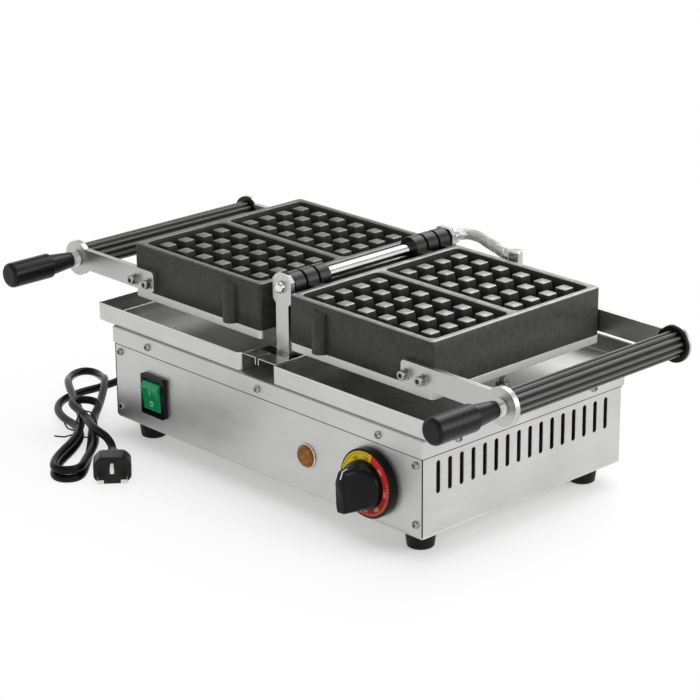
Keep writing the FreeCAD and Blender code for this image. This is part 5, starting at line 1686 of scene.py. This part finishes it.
    def build(self, frame: Frame) -> None:
        """Cast the half and dress what is fixed to it.

        Args:
            frame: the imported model.
        """
        p, body = self.side.prefix, self.side.plate
        coats = {CastSkin.WALL: Palette.IRON, CastSkin.LAND: self.top, CastSkin.CAVITY: Palette.SOOT}
        finishes = [coats[part] for part in CastSkin]
        place(p + "casting", self.block(), body, finishes, [p + "cast_plate"])
        place(p + "pegs", self.pegs(), body, [Palette.SOOT, self.top])
        frame.ease(p + "hinge_knuckles", Palette.KNUCKLE, 2.2)
        frame.ease(p + "bottom_cover", Palette.SHEET, 0.5, edge=Palette.EDGE)
        frame.ease(p + "rest_stud", Palette.ZINC)
        frame.paint(p + "heating_element", Palette.SHEATH)


@dataclass
class Handle:
    """Lifting handle of one half: two arms, the ribbed bar between them, its flange, collar and front grip.

    The axis is the bar's x and z on the right-hand half. Bar and spigot are given by the y of their ends.
    """

    side: Side
    axis: Pair = (290.0, 162.0)
    bar: Pair = (-86.0, 132.0)
    spigot: Pair = (-123.0, 140.5)
    radius: float = 12.7
    spigot_radius: float = 6.0
    spigot_steps: int = 24
    grooves: int = 12
    groove_depth: float = 2.0
    groove_steps: int = 14

    def ribbed_bar(self) -> Mesh:
        """Make the bar, with round ribs and grooves along it, on its through spigot.

        Returns:
            The bar's mesh.
        """
        rule = Pattern(self.side.prefix + "ribbed_bar")
        radius = rule.given("Radius", "Float", mm(self.radius))
        depth = rule.given("Groove Depth", "Float", mm(self.groove_depth))
        grooves = rule.given("Grooves", "Int", self.grooves)
        circle = rule.node("GeometryNodeCurvePrimitiveCircle", {
            "Resolution": self.grooves * self.groove_steps, "Radius": radius})
        spot = rule.node("GeometryNodeInputPosition")
        parts = rule.node("ShaderNodeSeparateXYZ", {"Vector": spot})
        angle = rule.node("ShaderNodeMath", {
            0: parts.outputs["Y"], 1: parts.outputs["X"]}, operation="ARCTAN2")
        swing = rule.node("ShaderNodeMath", {0: angle, 1: grooves}, operation="MULTIPLY")
        wave = rule.node("ShaderNodeMath", {0: swing}, operation="COSINE")
        hollow = rule.node("ShaderNodeMath", {0: wave, 1: 0.5, 2: 0.5}, operation="MULTIPLY_ADD")
        sunk = rule.node("ShaderNodeMath", {0: hollow, 1: depth}, operation="MULTIPLY")
        share = rule.node("ShaderNodeMath", {0: sunk, 1: radius}, operation="DIVIDE")
        pull = rule.node("ShaderNodeMath", {0: 1.0, 1: share}, operation="SUBTRACT")
        moved = rule.node("ShaderNodeVectorMath", {0: spot, "Scale": pull}, operation="SCALE")
        fluted = rule.node("GeometryNodeSetPosition", {"Geometry": circle, "Position": moved})
        thin = rule.given("Spigot Radius", "Float", mm(self.spigot_radius))
        plain = rule.node("GeometryNodeCurvePrimitiveCircle", {
            "Resolution": self.spigot_steps, "Radius": thin})
        x, z = self.side.value * self.axis[0], self.axis[1]
        tubes = []
        for name, (near, far), outline in (("Bar", self.bar, fluted), ("Spigot", self.spigot, plain)):
            line = rule.node("GeometryNodeCurvePrimitiveLine", {
                "Start": rule.given(name + " Start", "Vector", mm(x, near, z)),
                "End": rule.given(name + " End", "Vector", mm(x, far, z))})
            tubes.append(rule.node("GeometryNodeCurveToMesh", {
                "Curve": line, "Profile Curve": outline, "Fill Caps": True}))
        return rule.run(rule.node("GeometryNodeJoinGeometry", {"Geometry": tubes}), Palette.RIBBED)

    def build(self, frame: Frame) -> None:
        """Make the bar and dress the rest of the handle.

        Args:
            frame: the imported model.
        """
        p = self.side.prefix
        place(p + "ribbed_bar", self.ribbed_bar(), self.side.plate, [Palette.RIBBED],
              [p + "handle_bar"])
        for node in ("front_arm", "rear_arm"):
            frame.ease(p + node, Palette.ARM, 0.7, edge=Palette.EDGE)
        frame.ease(p + "bar_cap", Palette.PHENOLIC, 0.6)
        frame.ease(p + "grip_knob", Palette.PHENOLIC, 1.8)
        frame.ease(p + "collar", Palette.COLLAR, 0.4, edge=Palette.EDGE)


@dataclass
class Tray:
    """Folded drip tray under one half, its upper edge turned over into a round hem.

    Its x is that of the tray's two walls, for the left-hand and the right-hand tray.
    """

    side: Side
    left_x: Pair = (-240.5, -27.5)
    right_x: Pair = (16.5, 229.5)
    y: Pair = (-106.0, 175.0)
    top: float = 131.0
    corner: float = 4.2
    hem_radius: float = 0.8

    def hem(self) -> Mesh:
        """Lay a round hem along the tray's upper edge.

        Returns:
            The hem's mesh.
        """
        x = self.left_x if self.side is Side.LEFT else self.right_x
        points = rounded(x, self.y, self.hem_radius, self.top, self.corner)
        return swept(self.side.prefix + "tray_hem", [points + points[:1]], self.hem_radius, Palette.EDGE)

    def build(self, frame: Frame) -> None:
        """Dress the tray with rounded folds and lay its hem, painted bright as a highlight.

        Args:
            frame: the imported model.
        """
        p = self.side.prefix
        frame.ease(p + "drip_tray", Palette.TRAY, 0.5)
        place(p + "tray_hem", self.hem(), self.side.tray, [Palette.EDGE])


class Ink(NamedTuple):
    """One ink on the scale: its first tick, how many there are, and its words with their angles.

    Angles are from the top, clockwise.
    """

    name: str
    finish: Finish
    first: float
    count: int
    words: dict[str, float]


@dataclass
class Controls:
    """Mains switch, pilot lamp and thermostat dial on the front panel.

    A knob ring is its rise, its half width and half height, and the power of its outline, 2 for an ellipse
    and more for a squarer one. The slope is how far the knob's upper end falls back, and the share of its
    half height where that starts. Marks and the pointer are given by how deep they are sunk and how far they
    stand out.
    """

    switch: Pair = (-152.0, 57.0)
    rocker_half: Pair = (12.5, 14.4)
    rocker_face: float = -112.4
    rocker_back: float = -102.0
    rocker_lip: float = 0.3
    rocker_hollow: float = 2.2
    rocker_steps: int = 16
    ledge: float = 9.6
    ledge_rise: float = 4.4
    mark: Pair = (0.2, 0.12)
    off_ring: Pair = (2.9, 2.1)
    off_height: float = -7.4
    off_squeeze: float = 0.8
    off_steps: int = 20
    on_half: float = 0.45
    on_heights: Triple = (2.2, 4.5, 7.2)
    dial: Pair = (149.7, 57.0)
    scale_y: float = -115.5
    scale_radius: Pair = (22.4, 30.3)
    inks: tuple[Ink, ...] = (
        Ink("warm", Palette.DIAL_INK, -72.0, 15, {"50": -66.0, "100": -30.0, "150": 3.0}),
        Ink("hot", Palette.LIGHT_INK, 78.0, 20, {"200": 48.0, "250": 96.0, "300": 144.0, "MAX": 184.0}))
    tick: Triple = (0.55, 0.2, 1.8)
    tick_step: float = 6.0
    tick_inset: float = 0.8
    word_size: float = 4.2
    word_rise: float = 0.08
    word_inset: float = 1.2
    word_steps: int = 3
    knob_seat: float = -115.9
    knob_tilt: float = -5.0
    knob_rings: tuple[tuple[float, float, float, float], ...] = (
        (0.0, 23.0, 23.0, 2.0), (4.5, 23.0, 23.0, 2.0), (7.4, 22.4, 22.4, 2.0), (9.0, 20.8, 21.4, 2.1),
        (10.2, 17.2, 20.8, 2.4), (11.8, 13.4, 20.5, 3.0), (14.0, 10.4, 20.2, 4.0), (17.0, 8.4, 19.9, 5.5),
        (21.0, 7.0, 19.6, 7.0), (25.5, 6.1, 19.2, 8.0), (30.3, 5.4, 18.7, 8.0), (31.0, 4.8, 18.0, 8.0))
    knob_steps: int = 56
    knob_slope: Pair = (5.5, 0.4)
    pointer_width: float = 1.5
    pointer: Pair = (0.5, 0.12)
    pointer_rings: int = 4
    pointer_end: float = 0.68
    smooth: float = 40.0
    fine_smooth: float = 30.0

    def rocker_y(self, z: float) -> float:
        """Find how far forward the rocker's hollow face is.

        Args:
            z: height above its middle.

        Returns:
            The face's y there.
        """
        half = self.rocker_half[1]
        share = min(max((self.ledge - z) / (self.ledge + half), 0.0), 1.0)
        return self.rocker_face - self.ledge_rise * (1.0 - share) ** self.rocker_hollow

    def on_rocker(self, spots: Iterable[Pair], lift: float) -> list[Vector]:
        """Points at places across and up the rocker's face, lifted off it, in metres."""
        x, z = self.switch
        return [mm(x + u, self.rocker_y(h) - lift, z + h) for u, h in spots]

    def rocker(self) -> Mesh:
        """Make the rocker with a ledge at its top and a hollow face, its lower end pressed in.

        Returns:
            The rocker's mesh.
        """
        half_w, half_h = self.rocker_half
        count = self.rocker_steps
        heights = [self.ledge - (self.ledge + half_h) * i / count for i in range(count + 1)]
        profile = [(self.rocker_back, half_h), (self.rocker_face - self.rocker_lip, half_h)]
        profile += [(self.rocker_y(z), z) for z in heights] + [(self.rocker_back, -half_h)]
        work = bmesh.new()
        x, z = self.switch
        rings = [[mm(x + way * half_w, y, z + h) for y, h in profile] for way in (-1, 1)]
        skin(work, rings, first=True, last=True)
        return new_mesh("rocker", work, self.fine_smooth)

    def rocker_marks(self) -> Mesh:
        """Print a white ring and bar on the rocker's hollow face.

        Returns:
            The marks' mesh.
        """
        work = bmesh.new()
        sunk, lift = -self.mark[0], self.mark[1]
        outer, inner = self.off_ring
        turns = [FULL_TURN * i / self.off_steps for i in range(self.off_steps)]
        rims = []
        for r, off in ((outer, sunk), (outer, lift), (inner, lift), (inner, sunk)):
            spots = [(r * self.off_squeeze * math.sin(a), self.off_height + r * math.cos(a)) for a in turns]
            rims.append(self.on_rocker(spots, off))
        skin(work, rims + rims[:1])
        half, (low, middle, high) = self.on_half, self.on_heights
        bar = [(-half, low), (half, low), (half, middle), (half, high), (-half, high), (-half, middle)]
        skin(work, [self.on_rocker(bar, off) for off in (sunk, lift)], first=True, last=True)
        bmesh.ops.remove_doubles(work, verts=work.verts, dist=SAME_SPOT)
        return new_mesh("rocker_marks", work, self.smooth)

    def ticks(self, ink: Ink) -> Mesh:
        """Print short lines across the scale at even angles.

        Args:
            ink: the ink and its ticks.

        Returns:
            The lines as one plain mesh.
        """
        rule = Pattern(ink.name + "_ticks")
        turn = rule.node("ShaderNodeMath", {
            0: rule.node("GeometryNodeInputIndex"),
            1: rule.given("Step", "Float", math.radians(self.tick_step)),
            2: rule.given("First", "Float", math.radians(ink.first))}, operation="MULTIPLY_ADD")
        middle = self.scale_radius[1] - self.tick_inset - self.tick[2] / 2
        reach = rule.given("Reach", "Float", mm(middle))
        parts = {}
        for axis, trend in (("X", "SINE"), ("Z", "COSINE")):
            lean = rule.node("ShaderNodeMath", {0: turn}, operation=trend)
            parts[axis] = rule.node("ShaderNodeMath", {0: lean, 1: reach}, operation="MULTIPLY")
        line = rule.node("GeometryNodeMeshLine", {"Count": rule.given("Count", "Int", ink.count)})
        spread = rule.node("GeometryNodeSetPosition", {
            "Geometry": line, "Position": rule.node("ShaderNodeCombineXYZ", parts)})
        tick = rule.node("GeometryNodeMeshCube", {"Size": rule.given("Mark", "Vector", mm(*self.tick))})
        slant = rule.node("ShaderNodeCombineXYZ", {"Y": turn})
        tilt = rule.node("FunctionNodeEulerToRotation", {"Euler": slant})
        laid = rule.node("GeometryNodeInstanceOnPoints", {
            "Points": spread, "Instance": tick, "Rotation": tilt})
        centre = rule.given("Middle", "Vector", mm(self.dial[0], self.scale_y, self.dial[1]))
        moved = rule.node("GeometryNodeTransform", {"Geometry": laid, "Translation": centre})
        return rule.run(moved, ink.finish)

    def numbers(self, ink: Ink) -> Mesh:
        """Print the words round the scale, their heads outwards.

        Args:
            ink: the ink and its words.

        Returns:
            The words as one plain mesh.
        """
        work = bmesh.new()
        upright = Matrix.Rotation(math.pi / 2, 4, "X")
        out = Matrix.Translation(mm(0.0, 0.0, self.scale_radius[0] + self.word_inset))
        middle = Matrix.Translation(mm(self.dial[0], self.scale_y, self.dial[1]))
        for word, turn in ink.words.items():
            text = bpy.data.curves.new("number", "FONT")
            text.body = word
            text.size = mm(self.word_size)
            text.extrude = mm(self.word_rise)
            text.align_x = "CENTER"
            text.resolution_u = self.word_steps
            flat = as_mesh(bpy.data.objects.new("number", text))
            spun = Matrix.Rotation(math.radians(turn), 4, "Y")
            flat.transform(middle @ spun @ out @ upright)
            work.from_mesh(flat)
            bpy.data.meshes.remove(flat)
        bmesh.ops.remove_doubles(work, verts=work.verts, dist=SAME_SPOT)
        return new_mesh(ink.name + "_numbers", work, self.fine_smooth, turn_out=False)

    @property
    def knob_place(self) -> Matrix:
        """Where the knob sits and how far it leans to the left."""
        seat = Matrix.Translation(mm(self.dial[0], self.knob_seat, self.dial[1]))
        return seat @ Matrix.Rotation(math.radians(self.knob_tilt), 4, "Y")

    def knob_point(self, level: int, u: float, v: float) -> Triple:
        """Find a point on a ring of the knob, whose upper end slopes back ever more towards the front.

        Args:
            level: the ring's number.
            u: place across it, from -1 to 1.
            v: place up it, from -1 to 1.

        Returns:
            The point in millimetres, from the knob's seat.
        """
        rise, wide, high, _ = self.knob_rings[level]
        drop, start = self.knob_slope
        back = drop * (rise / self.knob_rings[-1][0]) ** 3 * max(0.0, v - start) / (1.0 - start)
        return (wide * u, back - rise, high * v)

    def knob(self) -> Mesh:
        """Make the knob, whose round skirt sweeps up into a narrow grip, sloped back at its upper end.

        Returns:
            The knob's mesh.
        """
        work = bmesh.new()
        count = self.knob_steps
        rings = []
        for level, (_, _, _, power) in enumerate(self.knob_rings):
            points = []
            for i in range(count):
                turn = FULL_TURN * (i + 0.5) / count - math.pi / 2
                u, v = (math.copysign(abs(s) ** (2 / power), s) for s in (math.cos(turn), math.sin(turn)))
                points.append(self.knob_place @ mm(*self.knob_point(level, u, v)))
            rings.append(points)
        front = skin(work, rings, first=True)[-1]
        for i in range(count // 2 - 1):
            work.faces.new((front[i], front[i + 1], front[count - 2 - i], front[count - 1 - i]))
        return new_mesh("knob", work, self.smooth)

    def knob_line(self) -> Mesh:
        """Lay a white line along the top of the knob's grip that bends down over its front.

        Returns:
            The line's mesh.
        """
        work = bmesh.new()
        last = len(self.knob_rings) - 1
        line = [self.knob_point(level, 0.0, 1.0) for level in range(last + 1 - self.pointer_rings, last + 1)]
        line.append(self.knob_point(last, 0.0, self.pointer_end))
        half, (sunk, lift) = self.pointer_width / 2, self.pointer
        rings = []
        for _, y, z in line:
            corners = [(-half, y - lift, z + lift), (half, y - lift, z + lift),
                       (half, y + sunk, z - sunk), (-half, y + sunk, z - sunk)]
            rings.append([self.knob_place @ mm(*p) for p in corners])
        skin(work, rings, first=True, last=True)
        return new_mesh("knob_pointer", work, self.smooth)

    def build(self, frame: Frame) -> None:
        """Make the rocker, the scale's print, the knob and its line, and dress the rest.

        Args:
            frame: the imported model.
        """
        frame.ease("switch_housing", Palette.CONTROL, 0.8)
        rocker = place("rocker", self.rocker(), "switch_rocker", [Palette.ROCKER],
                       ["switch_rocker"])
        rounded_edges(rocker, 0.7)
        place("rocker_marks", self.rocker_marks(), "switch_rocker", [Palette.MARK])
        frame.ease("lamp_bezel", Palette.LAMP)
        frame.ease("lamp_lens", Palette.LENS, 0.6)
        frame.ease("dial_plate", Palette.CONTROL, 0.5)
        frame.paint("dial_scale", Palette.SCALE)
        for ending, made in (("_ticks", self.ticks), ("_numbers", self.numbers)):
            for ink in self.inks:
                place(ink.name + ending, made(ink), "base", [ink.finish])
        place("knob", self.knob(), "thermostat_knob", [Palette.CONTROL],
              ["thermostat_knob"])
        place("knob_pointer", self.knob_line(), "thermostat_knob", [Palette.MARK])
        frame.paint("thermostat_shaft", Palette.ZINC)


def main() -> None:
    """Build the picture: frame, studio, lead, then the dressed pieces."""
    logging.basicConfig(level=logging.INFO, format="%(name)s: %(message)s")
    frame = Frame.load()
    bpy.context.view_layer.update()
    Studio().build()
    Lead().build(frame)
    parts: list[Any] = [Cabinet(), Hinge(), Controls(), Fasteners()]
    for side in Side:
        parts += [BakingPlate(side), Handle(side), Tray(side)]
    for part in parts:
        part.build(frame)


if __name__ == "__main__":
    main()
